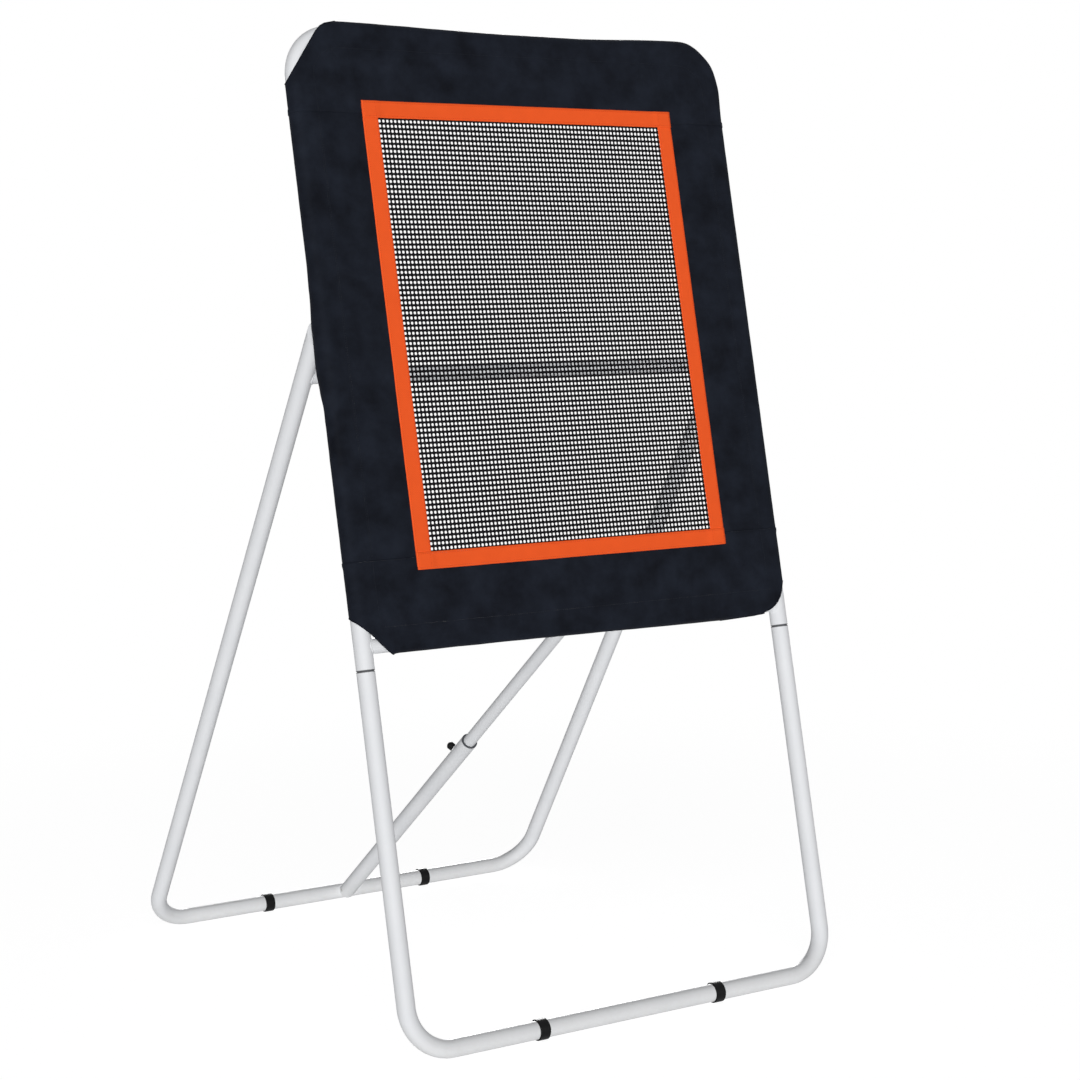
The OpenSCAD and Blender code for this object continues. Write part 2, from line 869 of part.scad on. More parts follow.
module clamp_knob() {
    knob_r = knob_d / 2;
    knob_top = tube_r + knob_h;
    recess_low = knob_seat - over;
    color(plastic_black) on_clamp() difference() {
        union() {
            translate([0, 0, knob_seat])
                linear_extrude(height = knob_top - knob_dome_h - knob_seat) difference() {
                    circle(r = knob_r);
                    for (i = [0 : grip_count - 1]) rotate(i * 360 / grip_count)
                        translate([knob_r + grip_r / 2, 0]) circle(r = grip_r);
                }
            translate([0, 0, knob_top - knob_dome_h]) dome(knob_r - grip_r / 2, knob_dome_h);
        }
        translate([0, 0, recess_low])
            cylinder(r = boss_r + recess_side, h = boss_top + recess_top - recess_low);
        cylinder(r = pin_r, h = stud_top);
    }
}

side_tube_left();
side_tube_right();
top_rail();
lower_crossbar();
front_leg_left();
front_leg_right();
front_base_bar();
front_foot_left();
front_foot_right();
pivot_bracket_left();
pivot_bracket_right();
pivot_bolts();
strut_cradle();
screen_screws();
cover_top();
cover_bottom();
cover_left();
cover_right();
border_top();
border_bottom();
border_left();
border_right();
net();
rear_leg_left();
rear_leg_right();
rear_base_bar();
rear_brace();
rear_foot_left();
rear_foot_right();
rear_leg_caps();
pivot_bushes();
strut_lug();
rear_screws();
strut_outer_tube();
strut_end_plug();
strut_foot_pin();
guide_bush();
clamp_boss();
strut_inner_tube();
tail_slider();
strut_top_cap();
cradle_pin();
clamp_shoe();
clamp_stud();
clamp_knob();
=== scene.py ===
import math
import random

import bmesh
import bpy
from mathutils import Matrix, Vector, noise


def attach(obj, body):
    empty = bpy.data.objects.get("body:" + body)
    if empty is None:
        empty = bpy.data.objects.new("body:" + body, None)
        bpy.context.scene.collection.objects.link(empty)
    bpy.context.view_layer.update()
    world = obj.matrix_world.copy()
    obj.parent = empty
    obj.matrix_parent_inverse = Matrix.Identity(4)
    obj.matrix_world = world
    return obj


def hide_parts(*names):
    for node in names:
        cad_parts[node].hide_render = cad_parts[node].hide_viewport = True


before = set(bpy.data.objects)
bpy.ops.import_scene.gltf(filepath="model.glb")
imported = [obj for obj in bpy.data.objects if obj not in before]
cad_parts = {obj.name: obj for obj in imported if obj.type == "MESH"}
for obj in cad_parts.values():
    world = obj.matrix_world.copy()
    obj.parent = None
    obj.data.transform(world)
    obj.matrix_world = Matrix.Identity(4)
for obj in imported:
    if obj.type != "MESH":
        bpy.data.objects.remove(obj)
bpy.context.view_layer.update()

scene = bpy.context.scene

# ---------------------------------------------------------------- camera
# A long lens stands in front of the stand, to its left and a little above its
# middle. Its place is in metres, its turns are in radians.

CAMERA_AT = Vector((-2.6682, -4.5356, 1.4691))
CAMERA_YAW, CAMERA_PITCH, CAMERA_ROLL = 0.5644, -0.0958, -0.0192
CAMERA_LENS, SENSOR_W = 76.807, 36

camera = bpy.data.objects.new("camera", bpy.data.cameras.new("camera"))
camera.data.lens = CAMERA_LENS
camera.data.sensor_width = SENSOR_W
camera.matrix_world = (
    Matrix.Translation(CAMERA_AT)
    @ Matrix.Rotation(-CAMERA_YAW, 4, "Z")
    @ Matrix.Rotation(math.pi / 2 + CAMERA_PITCH, 4, "X")
    @ Matrix.Rotation(CAMERA_ROLL, 4, "Z"))
scene.collection.objects.link(camera)
scene.camera = camera

# ---------------------------------------------------------------- tubes
# Round steel tube, bent, necked and welded, then powder coated light grey in
# one go, so that the weld beads have the same coat as the tubes.

SCREEN_LEAN, REAR_TILT = -11.4, 34.218
FOOT_SPREAD, AXLE_UP = 1280, 21
TUBE_R, CROSSBAR_R = 19, 16
HALF_W, LEG_X = 525, 534
CROSSBAR_UP = 816


def leaning(x, y, z, degrees):
    """The frame of a leaning part, from its own millimetres to the scene's metres."""
    return (Matrix.Translation((x / 1000, y / 1000, z / 1000))
            @ Matrix.Rotation(math.radians(degrees), 4, "X") @ Matrix.Scale(0.001, 4))


screen = leaning(0, -FOOT_SPREAD / 2, AXLE_UP, SCREEN_LEAN)
rear = leaning(0, FOOT_SPREAD / 2, AXLE_UP, REAR_TILT)


def srgb(colour):
    """The linear colour of an sRGB hex value."""
    parts = [int(colour[i:i + 2], 16) / 255 for i in (1, 3, 5)]
    return [c / 12.92 if c <= 0.04045 else ((c + 0.055) / 1.055) ** 2.4 for c in parts] + [1]


def add(tree, kind, inputs=None, to=None, **settings):
    """Adds a node with its settings and its input values or links, and links its result on."""
    node = tree.nodes.new(kind)
    for key, value in settings.items():
        setattr(node, key, value)
    for key, value in (inputs or {}).items():
        if isinstance(value, bpy.types.NodeSocket):
            tree.links.new(value, node.inputs[key])
        else:
            node.inputs[key].default_value = value
    if to:
        tree.links.new(node.outputs[2 if kind == "ShaderNodeMix" else 0], to)
    return node


def finish_of(name, **shader):
    """A new material with one Principled shader; gives the material, its nodes and the shader."""
    material = bpy.data.materials.new(name)
    material.use_nodes = True
    tree = material.node_tree
    tree.nodes.clear()
    values = {key.replace("_", " "): value for key, value in shader.items()}
    principled = add(tree, "ShaderNodeBsdfPrincipled", values)
    add(tree, "ShaderNodeOutputMaterial", {"Surface": principled.outputs[0]})
    return material, tree, principled


# Polyester powder coat, sprayed and baked: a soft semi-gloss with a fine
# orange peel of about 1.5 mm, a little dust near the floor and faint rubs.
COAT_GREY, COAT_SHADE, COAT_DUST = srgb("#E4E5E7"), srgb("#DADCDF"), srgb("#C9C6BF")
# the dark grey of a band of painted shade along the joint of the side tubes and the legs; it stands for
# the shaded groove there
COAT_JOINT_SHADE = srgb("#3C3D40")
JOINT_UP, JOINT_SHADE_HALF, JOINT_SHADE_FADE = 767, 0.0019, 0.0031
PEEL_SIZE, SHADE_SIZE, RUB_SIZE = 0.0015, 0.09, 0.012
DUST_TOP = 0.09


def powder_coated_steel(name, joint_up=None):
    """The coat; a dark band of painted shade lies along the joint's groove at joint_up, which is a
    height along the screen.
    """
    material, tree, shader = finish_of(name, IOR=1.5, Specular_IOR_Level=0.06)
    place = add(tree, "ShaderNodeTexCoord").outputs["Object"]
    cloud = add(tree, "ShaderNodeTexNoise", {"Vector": place, "Scale": 1 / SHADE_SIZE,
                                             "Detail": 3.0})
    colour = add(tree, "ShaderNodeMix", {
        0: cloud.outputs["Fac"], 6: COAT_GREY, 7: COAT_SHADE}, data_type="RGBA")
    height = add(tree, "ShaderNodeSeparateXYZ", {0: place}).outputs["Z"]
    near_floor = add(tree, "ShaderNodeMapRange", {
        "Value": height, "From Min": DUST_TOP, "From Max": 0.0, "To Max": 0.45})
    dust = add(tree, "ShaderNodeTexNoise", {"Vector": place, "Scale": 1 / RUB_SIZE,
                                            "Detail": 6.0, "Roughness": 0.7})
    dusty = add(tree, "ShaderNodeMath", {
        0: near_floor.outputs[0], 1: dust.outputs["Fac"]}, operation="MULTIPLY")
    colour = add(tree, "ShaderNodeMix", {
        0: dusty.outputs[0], 6: colour.outputs[2], 7: COAT_DUST}, data_type="RGBA")
    # painted shade: a dark band across the tube at the joint, in place of the shade in the groove
    # between the tubes
    if joint_up:
        up = (screen.to_3x3() @ Vector((0, 0, 1))).normalized()
        along = add(tree, "ShaderNodeVectorMath", {0: place, 1: up}, operation="DOT_PRODUCT")
        off = add(tree, "ShaderNodeMath", {
            0: along.outputs["Value"], 1: up.dot(screen @ Vector((0, 0, joint_up)))},
            operation="SUBTRACT")
        away = add(tree, "ShaderNodeMath", {0: off.outputs[0]}, operation="ABSOLUTE")
        joint_shade = add(tree, "ShaderNodeMapRange", {
            "Value": away.outputs[0], "From Min": JOINT_SHADE_FADE, "From Max": JOINT_SHADE_HALF, "To Max": 0.92})
        colour = add(tree, "ShaderNodeMix", {
            0: joint_shade.outputs[0], 6: colour.outputs[2], 7: COAT_JOINT_SHADE}, data_type="RGBA")
    tree.links.new(colour.outputs[2], shader.inputs["Base Color"])
    add(tree, "ShaderNodeMapRange", {
        "Value": dust.outputs["Fac"], "From Min": 0.3, "From Max": 0.7,
        "To Min": 0.42, "To Max": 0.56}, to=shader.inputs["Roughness"])
    peel = add(tree, "ShaderNodeTexNoise", {"Vector": place, "Scale": 1 / PEEL_SIZE,
                                            "Detail": 1.0})
    add(tree, "ShaderNodeBump", {
        "Height": peel.outputs["Fac"], "Strength": 0.12, "Distance": 0.0003},
        to=shader.inputs["Normal"])
    return material


def coat_nodes(material, *names):
    """Gives CAD nodes their finish."""
    for name in names:
        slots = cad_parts[name].data.materials
        if not slots:
            slots.append(material)
        for i in range(len(slots)):
            slots[i] = material


coat = powder_coated_steel("powder_coated_steel")
coat_nodes(
    coat, "top_rail", "lower_crossbar", "front_base_bar", "pivot_bracket_left",
    "pivot_bracket_right", "strut_cradle", "rear_leg_left", "rear_leg_right",
    "rear_base_bar", "rear_brace", "strut_lug", "strut_outer_tube", "strut_end_plug",
    "clamp_boss", "strut_inner_tube", "rear_leg_caps")
coat_nodes(powder_coated_steel("powder_coated_steel_with_joint_shade", JOINT_UP),
           "side_tube_left", "side_tube_right", "front_leg_left", "front_leg_right")


def piece(name, bm, place, material, body):
    """An object from a mesh in a part's own millimetres, finished and riding on its body."""
    mesh = bpy.data.meshes.new(name)
    bm.to_mesh(mesh)
    bm.free()
    mesh.transform(place)
    for polygon in mesh.polygons:
        polygon.use_smooth = True
    mesh.materials.append(material)
    made = bpy.data.objects.new(name, mesh)
    scene.collection.objects.link(made)
    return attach(made, body)


BAR_SIDES = 8


def sweep(bm, path, radius, closed):
    """A round bar along a path of points; radius is a number or a function of the point's index."""
    count = len(path)
    rings = []
    side = None
    for i, point in enumerate(path):
        if closed:
            along = path[(i + 1) % count] - path[i - 1]
        else:
            along = path[min(i + 1, count - 1)] - path[max(i - 1, 0)]
        along.normalize()
        if side is None:
            side = along.orthogonal()
        side = (side - along * side.dot(along)).normalized()
        up = along.cross(side)
        r = radius(i) if callable(radius) else radius
        turns = [2 * math.pi * k / BAR_SIDES for k in range(BAR_SIDES)]
        rings.append([bm.verts.new(point + (side * math.cos(a) + up * math.sin(a)) * r)
                      for a in turns])
    pairs = list(zip(rings, rings[1:] + rings[:1])) if closed else list(zip(rings, rings[1:]))
    for near, far in pairs:
        shift = 0
        if far is rings[0] and closed:
            shift = min(range(BAR_SIDES), key=lambda k: (near[0].co - far[k].co).length)
        for k in range(BAR_SIDES):
            a, b = (k + shift) % BAR_SIDES, (k + 1 + shift) % BAR_SIDES
            bm.faces.new((near[k], near[(k + 1) % BAR_SIDES], far[b], far[a]))
    if not closed:
        bm.faces.new(list(reversed(rings[0])))
        bm.faces.new(rings[-1])


# A weld bead is about 4 mm wide, with a ripple each 2.5 mm, under the coat.
BEAD_R, BEAD_STEP = 2.1, 0.8
RIPPLE, RIPPLE_PITCH = 0.22, 2.5
JOINT_STEPS = 48


def bead(bm, corners, closed):
    """A rippled weld bead along a line of points."""
    path = []
    count = len(corners) if closed else len(corners) - 1
    for i in range(count):
        a, b = corners[i], corners[(i + 1) % len(corners)]
        steps = max(1, round((b - a).length / BEAD_STEP))
        path += [a.lerp(b, k / steps) for k in range(steps)]
    if not closed:
        path.append(corners[-1])
    phase = noise.random()

    def radius(i):
        end = 1 if closed else min(1, (min(i, len(path) - 1 - i) + 1.5) / 4)
        return BEAD_R * end + RIPPLE * math.sin((i + phase) * 2 * math.pi * BEAD_STEP / RIPPLE_PITCH)

    sweep(bm, path, radius, closed)


def round_joint(bar_r, post_r, post_x, up, side):
    """The line where a cross tube meets an upright tube."""
    line = []
    for k in range(JOINT_STEPS):
        a = 2 * math.pi * k / JOINT_STEPS
        depth = bar_r * math.cos(a)
        reach = math.sqrt(post_r ** 2 - depth ** 2)
        line.append(Vector((side * (post_x - reach), depth, up + bar_r * math.sin(a))))
    return line


noise.seed_set(4)
LUG_IN, LUG_T, PIVOT_UP, LUG_HALF = 509.4, 5, 1430, 20
STRUT_X, CRADLE_HALF, CRADLE_T = -15, 16.8, 3
beads = bmesh.new()
for side in (-1, 1):
    bead(beads, round_joint(CROSSBAR_R, TUBE_R, HALF_W, CROSSBAR_UP, side), True)
    for x in (LUG_IN, LUG_IN + LUG_T):
        depth = math.sqrt(TUBE_R ** 2 - (HALF_W - x) ** 2)
        bead(beads, [Vector((side * x, depth, PIVOT_UP + k * (LUG_HALF - 2))) for k in (-1, 1)],
             False)
for x in (STRUT_X - CRADLE_HALF, STRUT_X + CRADLE_HALF):
    for face in (-CRADLE_T / 2, CRADLE_T / 2):
        bead(beads, [Vector((x + face, CROSSBAR_R * math.cos(a),
                             CROSSBAR_UP + CROSSBAR_R * math.sin(a)))
                     for a in (math.radians(d) for d in range(-60, 61, 10))], False)
piece("screen_weld_beads", beads, screen, coat, "screen_frame")

BRACE_UP = 1618.8
STRUT_LUG_TURN, STRUT_LUG_HALF, STRUT_LUG_T = 15.5, 11, 6
beads = bmesh.new()
for side in (-1, 1):
    bead(beads, round_joint(CROSSBAR_R, TUBE_R, LEG_X, BRACE_UP, side), True)
# the strut's lug points forward and down from the base bar, in the rear frame
lug_turn = math.radians(STRUT_LUG_TURN + REAR_TILT)
for face in (-STRUT_LUG_T / 2, STRUT_LUG_T / 2):
    line = []
    for k in range(-4, 5):
        a = lug_turn + math.asin(STRUT_LUG_HALF * k / 4 / TUBE_R)
        line.append(Vector((STRUT_X + face, -TUBE_R * math.cos(a), TUBE_R * math.sin(a))))
    bead(beads, line, False)
piece("rear_weld_beads", beads, rear, coat, "rear_frame")

# ---------------------------------------------------------------- fasteners
# Steel screws, bolts and pins, bright zinc plated and passivated: a soft metal
# shine with a faint blue and yellow cloud.

ZINC, ZINC_WARM = srgb("#B9BDC1"), srgb("#C2BEB2")
ZINC_CLOUD, ZINC_GRAIN = 0.006, 0.0006


def zinc_plated_steel():
    material, tree, shader = finish_of("zinc_plated_steel", Metallic=1.0)
    place = add(tree, "ShaderNodeTexCoord").outputs["Object"]
    cloud = add(tree, "ShaderNodeTexNoise", {"Vector": place, "Scale": 1 / ZINC_CLOUD,
                                             "Detail": 2.0})
    add(tree, "ShaderNodeMix", {
        0: cloud.outputs["Fac"], 6: ZINC, 7: ZINC_WARM}, data_type="RGBA",
        to=shader.inputs["Base Color"])
    grain = add(tree, "ShaderNodeTexNoise", {"Vector": place, "Scale": 1 / ZINC_GRAIN,
                                             "Detail": 2.0})
    add(tree, "ShaderNodeMapRange", {
        "Value": grain.outputs["Fac"], "To Min": 0.26, "To Max": 0.42},
        to=shader.inputs["Roughness"])
    return material


coat_nodes(zinc_plated_steel(), "screen_screws", "rear_screws", "pivot_bolts",
           "strut_foot_pin", "cradle_pin", "clamp_stud")

# ---------------------------------------------------------------- plastic parts
# Foot rings, caps and knob are moulded in black polypropylene with a fine
# spark-eroded grain of about 0.5 mm; the feet are scuffed near the floor. The
# strut's guide bush is moulded in grey.

PLASTIC_BLACK, PLASTIC_SCUFF = srgb("#0A0A0B"), srgb("#242326")
BUSH_GREY, BUSH_SCUFF = srgb("#515357"), srgb("#5E6063")
GRAIN_SIZE, SCUFF_SIZE, SCUFF_TOP = 0.0005, 0.004, 0.02


def moulded_polypropylene(name, fresh, worn_pale):
    material, tree, shader = finish_of(name, IOR=1.49, Specular_IOR_Level=0.1)
    place = add(tree, "ShaderNodeTexCoord").outputs["Object"]
    height = add(tree, "ShaderNodeSeparateXYZ", {0: place}).outputs["Z"]
    low = add(tree, "ShaderNodeMapRange", {
        "Value": height, "From Min": SCUFF_TOP, "From Max": 0.0, "To Min": 0.04, "To Max": 0.5})
    scuff = add(tree, "ShaderNodeTexNoise", {"Vector": place, "Scale": 1 / SCUFF_SIZE,
                                             "Detail": 5.0, "Roughness": 0.7})
    worn = add(tree, "ShaderNodeMath", {0: low.outputs[0], 1: scuff.outputs["Fac"]},
               operation="MULTIPLY")
    add(tree, "ShaderNodeMix", {
        0: worn.outputs[0], 6: fresh, 7: worn_pale}, data_type="RGBA",
        to=shader.inputs["Base Color"])
    add(tree, "ShaderNodeMapRange", {
        "Value": scuff.outputs["Fac"], "To Min": 0.45, "To Max": 0.65},
        to=shader.inputs["Roughness"])
    grain = add(tree, "ShaderNodeTexNoise", {"Vector": place, "Scale": 1 / GRAIN_SIZE,
                                             "Detail": 1.0})
    add(tree, "ShaderNodeBump", {
        "Height": grain.outputs["Fac"], "Strength": 0.2, "Distance": 0.0002},
        to=shader.inputs["Normal"])
    return material


coat_nodes(moulded_polypropylene("black_polypropylene", PLASTIC_BLACK, PLASTIC_SCUFF),
           "front_foot_left", "front_foot_right", "rear_foot_left", "rear_foot_right",
           "tail_slider", "strut_top_cap", "clamp_knob")
coat_nodes(moulded_polypropylene("grey_polypropylene", BUSH_GREY, BUSH_SCUFF), "guide_bush")

# The pivot bushes and the clamp's shoe are turned from natural nylon, which is
# a waxy off-white with fine turning rings.

NYLON, NYLON_WORN = srgb("#D8D6CE"), srgb("#BDB9AC")
NYLON_CLOUD, TURNING_PITCH = 0.004, 0.0008
# a wave texture repeats each 0.314 m at a scale of 1
WAVE_UNIT = 0.314


def turned_nylon():
    material, tree, shader = finish_of("turned_nylon", IOR=1.53, Roughness=0.4,
                                       Subsurface_Weight=0.1, Subsurface_Radius=(1, 0.9, 0.7),
                                       Subsurface_Scale=0.001)
    place = add(tree, "ShaderNodeTexCoord").outputs["Object"]
    cloud = add(tree, "ShaderNodeTexNoise", {"Vector": place, "Scale": 1 / NYLON_CLOUD, "Detail": 2.0})
    add(tree, "ShaderNodeMix", {
        0: cloud.outputs["Fac"], 6: NYLON, 7: NYLON_WORN}, data_type="RGBA",
        to=shader.inputs["Base Color"])
    rings = add(tree, "ShaderNodeTexWave", {
        "Vector": place, "Scale": WAVE_UNIT / TURNING_PITCH}, bands_direction="X")
    add(tree, "ShaderNodeBump", {
        "Height": rings.outputs["Fac"], "Strength": 0.15, "Distance": 0.0001},
        to=shader.inputs["Normal"])
    return material


coat_nodes(turned_nylon(), "pivot_bushes", "clamp_shoe")

# ---------------------------------------------------------------- cover
# The cover is four pieces of dark coated polyester, 1 mm thick with its
# backing, sewn round the tubes as sleeves. It is taut on the frame, with soft
# puckers along its seams, a slack place at the middle of its left sleeve, and
# loose places at the ends of its top sleeve.

CLOTH_T = 1.0
SLEEVE_R = 20.05
SEAM_IN, SEAM_DEPTH = 34, 1.3
ON_TUBE, WRAP, WRAP_STEP = math.radians(202.3), math.radians(239.2), 0.28
RAIL_UP, BEND_R = 2080, 95
WINDOW_X, WINDOW_LOW, WINDOW_HIGH = 372, 977, 1919
LAP = 10
MESH_STEP, SIDE_STEP, CLIMB_STEP = 6, 5.5, 4.3
BACK_STEPS = (0.085, 0.2, 0.36, 0.52, 0.68, 0.84, 1)
BORDER_X, BORDER_LOW, BORDER_HIGH = 390, 959, 1937
# Slack sleeves: the place along the tube and how far the sleeve hangs off it
# there. The top one's place is x up to the right bend, then on round the bend
# by the length of its arc. Last come the ranges over which slack sets in.
SLACK_LEFT = ((790, 0), (1296, 0), (1340, 3.5), (1377, 6.5), (1459, 5.5), (1540, 1.5),
              (1600, 0), (2110, 0))
SLACK_TOP = ((-580, 0), (-430, 7.8), (20, 0), (160, 0), (430, 6.9), (466, 10.5), (513, 7.8),
             (563, 2.8), (640, 0))
SLACK_X, SLACK_DEPTH, SLACK_OUT = (500, 530), (22, 8), (-2, 14)

# Where the front sheet is free of the sleeves, clear of the border and under
# it: each pair runs from none of it to all of it. Then the cloth's waves.
FRONT_DEPTH = -14
FREE_X, FREE_LOW, FREE_HIGH = (516, 480), (818, 840), (2072, 2040)
CLEAR_X, CLEAR_LOW, CLEAR_HIGH = (392, 410), (957, 940), (1939, 1956)
UNDER_X, UNDER_LOW, UNDER_HIGH = (397, 391), (951, 957), (1945, 1939)
BROAD_RISE, FINE_RISE, FOLD_RISE = 2.6, 0.9, 1.1
SLEEVE_RISE, SLEEVE_WAVES = 0.45, 0.3
PUCKER_RISE, PUCKER_DEPTH = 0.35, (-19, 6)
UNDER_RISE, LEAST_RISE = -0.1, -0.25

# Creases in the front sheet: the ends [x, up], the height and the width
CREASE_GAIN = 1.5
SMALL_CREASES = 46
random.seed(11)
CREASES = [
    ((324, 2052), (307, 1990), 2.2, 7), ((309, 2006), (290, 1962), -1.6, 5),
    ((251, 940), (240, 868), 2.0, 7), ((243, 886), (256, 850), -1.4, 5),
    ((-345, 2020), (-262, 2050), 1.8, 9), ((-300, 905), (-215, 940), 1.6, 9),
    ((-392, 1940), (-478, 2000), 2.0, 12), ((392, 1942), (468, 2016), 2.0, 12),
    ((-392, 956), (-452, 880), 1.8, 12), ((392, 956), (462, 878), 1.8, 12),
    ((402, 1890), (512, 1852), 1.9, 9), ((398, 1800), (500, 1700), 1.6, 10),
    ((410, 1660), (508, 1628), 1.7, 8), ((396, 1500), (512, 1520), 1.4, 10),
    ((404, 1330), (508, 1284), 1.8, 9), ((398, 1180), (506, 1206), 1.4, 10),
    ((402, 1060), (510, 1012), 1.8, 8), ((-402, 1868), (-510, 1838), 1.8, 9),
    ((-398, 1740), (-505, 1680), 1.5, 10), ((-404, 1560), (-512, 1596), 1.7, 9),
    ((-398, 1420), (-508, 1376), 2.0, 10), ((-402, 1250), (-512, 1282), 1.7, 8),
    ((-398, 1130), (-505, 1070), 1.6, 10), ((-404, 1030), (-510, 1008), 1.6, 8)]
for k in range(SMALL_CREASES):
    if k % 2:
        start = (random.choice((-1, 1)) * random.uniform(402, 500), random.uniform(860, 2000))
    else:
        start = (random.uniform(-460, 460), random.choice((random.uniform(826, 950),
                                                          random.uniform(1948, 2050))))
    turn, length = random.uniform(0, math.pi), random.uniform(22, 64)
    CREASES.append((start, (start[0] + length * math.cos(turn), start[1] + length * math.sin(turn)),
                    random.choice((-1, 1)) * random.uniform(0.4, 1.1), random.uniform(5, 10)))


def smooth(low, high, value):
    """0 below low, 1 above high, and a soft step between them."""
    t = min(max((value - low) / (high - low), 0), 1)
    return t * t * (3 - 2 * t)


def slack(table, at):
    """How far a sleeve hangs off its tube at a place along it."""
    for (a, low), (b, high) in zip(table, table[1:]):
        if a <= at <= b:
            return low + (high - low) * smooth(a, b, at)
    return 0


def top_slack(x, up):
    """How far the top sleeve stands off there; it is loose on the tube's outer side."""
    side = max(abs(x) - HALF_W + BEND_R, 0)
    rise = max(up - RAIL_UP + BEND_R, 0)
    if side and rise:
        out = math.hypot(side, rise) - BEND_R
        run = BEND_R * math.atan2(side, rise)
    else:
        out = rise - BEND_R if rise else side - BEND_R
        run = side and BEND_R * math.pi / 2 + RAIL_UP - BEND_R - up
    at = math.copysign(min(abs(x), HALF_W - BEND_R) + run, x)
    return slack(SLACK_TOP, at) * smooth(*SLACK_OUT, out)


def crease_height(x, up):
    """The creases at a place of the front sheet, added up."""
    total = 0
    for (ax, au), (bx, bu), height, width in CREASES:
        run = (bx - ax, bu - au)
        span = math.hypot(*run)
        along = ((x - ax) * run[0] + (up - au) * run[1]) / span
        across = ((x - ax) * run[1] - (up - au) * run[0]) / span
        if abs(across) > 3 * width or not -width < along < span + width:
            continue
        ends = smooth(-width, span * 0.3, along) * smooth(span + width, span * 0.7, along)
        total += height * ends * math.exp(-(across / width) ** 2)
    return total


def cloth_rise(x, depth, up):
    """How far the cloth stands off its smooth form there, outwards, in millimetres."""
    broad = noise.noise(Vector((x / 78, up / 92, 1.7)))
    fine = noise.noise(Vector((x / 30, up / 34, 5.1 + depth / 40)))
    if depth < FRONT_DEPTH and abs(x) < FREE_X[0] and FREE_LOW[0] < up < FREE_HIGH[0]:
        free = smooth(*FREE_X, abs(x)) * smooth(*FREE_HIGH, up) * smooth(*FREE_LOW, up)
        free *= max(smooth(*CLEAR_X, abs(x)), smooth(*CLEAR_LOW, up), smooth(*CLEAR_HIGH, up))
        fold = 1 - 2.6 * abs(noise.noise(Vector((x / 88 + 0.7 * broad, up / 70 - fine, 9.3))))
        held = 0.25 + 0.35 * fine
        rise = held + free * (BROAD_RISE * broad + FINE_RISE * fine + FOLD_RISE * fold
                              + CREASE_GAIN * crease_height(x, up))
        under = smooth(*UNDER_X, abs(x)) * smooth(*UNDER_LOW, up) * smooth(*UNDER_HIGH, up)
        rise += (UNDER_RISE - rise) * under
    else:
        rise = SLEEVE_RISE + SLEEVE_WAVES * fine + SLEEVE_WAVES * broad
        pucker = max(0, noise.noise(Vector((up / 17, x / 60, depth / 26))))
        rise += PUCKER_RISE * pucker * smooth(*PUCKER_DEPTH, depth)
    if x < -SLACK_X[0]:
        rise += slack(SLACK_LEFT, up) * smooth(*SLACK_X, -x) * smooth(*SLACK_DEPTH, depth)
    return max(rise, LEAST_RISE)


def grid_of(bm, uv, rows):
    """Joins rows of (point, flat place) with faces."""
    verts = [[bm.verts.new(p) for p, _ in row] for row in rows]
    for i in range(len(rows) - 1):
        for j in range(len(rows[i]) - 1):
            places = ((i, j), (i, j + 1), (i + 1, j + 1), (i + 1, j))
            face = bm.faces.new([verts[a][b] for a, b in places])
            for loop, (a, b) in zip(face.loops, places):
                loop[uv].uv = [value / 1000 for value in rows[a][b][1]]


def spread(low, high, step=MESH_STEP):
    """Even steps from low to high, both ends included."""
    count = max(1, round(abs(high - low) / step))
    return [low + (high - low) * k / count for k in range(count + 1)]


def sleeve_section():
    """A sleeve's section: how far out from the tube's axis, depth, and length along the cloth."""
    turns = spread(0, ON_TUBE, WRAP_STEP) + spread(ON_TUBE, WRAP, WRAP_STEP)[1:]
    section = [(SLEEVE_R * math.sin(a), -SLEEVE_R * math.cos(a), SLEEVE_R * a) for a in turns]
    start = section[-1]
    end = (-SEAM_IN, SEAM_DEPTH - SLEEVE_R)
    reach = math.hypot(end[0] - start[0], end[1] - start[1])
    for k in BACK_STEPS:
        section.append((start[0] + (end[0] - start[0]) * k, start[1] + (end[1] - start[1]) * k,
                        start[2] + reach * k))
    return section


def sleeve(bm, uv, stations, inner=(), part=None):
    """A sleeve along a tube, or only the first points of its section where it laps the tube.

    A station is x, up, the way out [x, up] and the cloth's flat place.
    """
    front = [(out, -SLEEVE_R, out) for out in inner]
    section = front + sleeve_section()[:part]
    grid_of(bm, uv, [[(Vector((x + ox * out, back, up + ou * out)),
                       (u + ox * flat, v + ou * flat))
                      for out, back, flat in section]
                     for x, up, (ox, ou), u, v in stations])


def outer_side_up(bm):
    """Turns the sheet's faces so that the front of the screen is their outer side."""
    bmesh.ops.remove_doubles(bm, verts=bm.verts, dist=0.05)
    bmesh.ops.recalc_face_normals(bm, faces=bm.faces)
    front = min(bm.faces, key=lambda f: f.calc_center_median().y + abs(f.normal.x))
    if front.normal.y > 0:
        bmesh.ops.reverse_faces(bm, faces=bm.faces)


def cut(bm, place, way):
    """Cuts off what lies beyond a plane; gives the test of a point on the new edge."""
    bmesh.ops.bisect_plane(bm, geom=bm.verts[:] + bm.edges[:] + bm.faces[:], dist=0.01,
                           plane_co=place, plane_no=way, clear_outer=True)
    return lambda p: abs((p - place).dot(way)) < 0.05


def slanting_cuts(corners, back):
    """The planes that cut a corner off along a line of points [x, up], on a slant to the back."""
    planes = []
    for start, end in zip(corners, corners[1:]):
        run = Vector((end[0] - start[0], 0, end[1] - start[1]))
        planes.append((Vector((start[0], -SLEEVE_R, start[1])), run.cross(Vector(back)).normalized()))
    return planes


def cut_out(bm, low, high):
    """Takes out the faces whose middles lie in a box."""
    inside = [f for f in bm.faces
              if all(a < c < b for a, c, b in zip(low, f.calc_center_median(), high))]
    bmesh.ops.delete(bm, geom=inside, context="FACES")


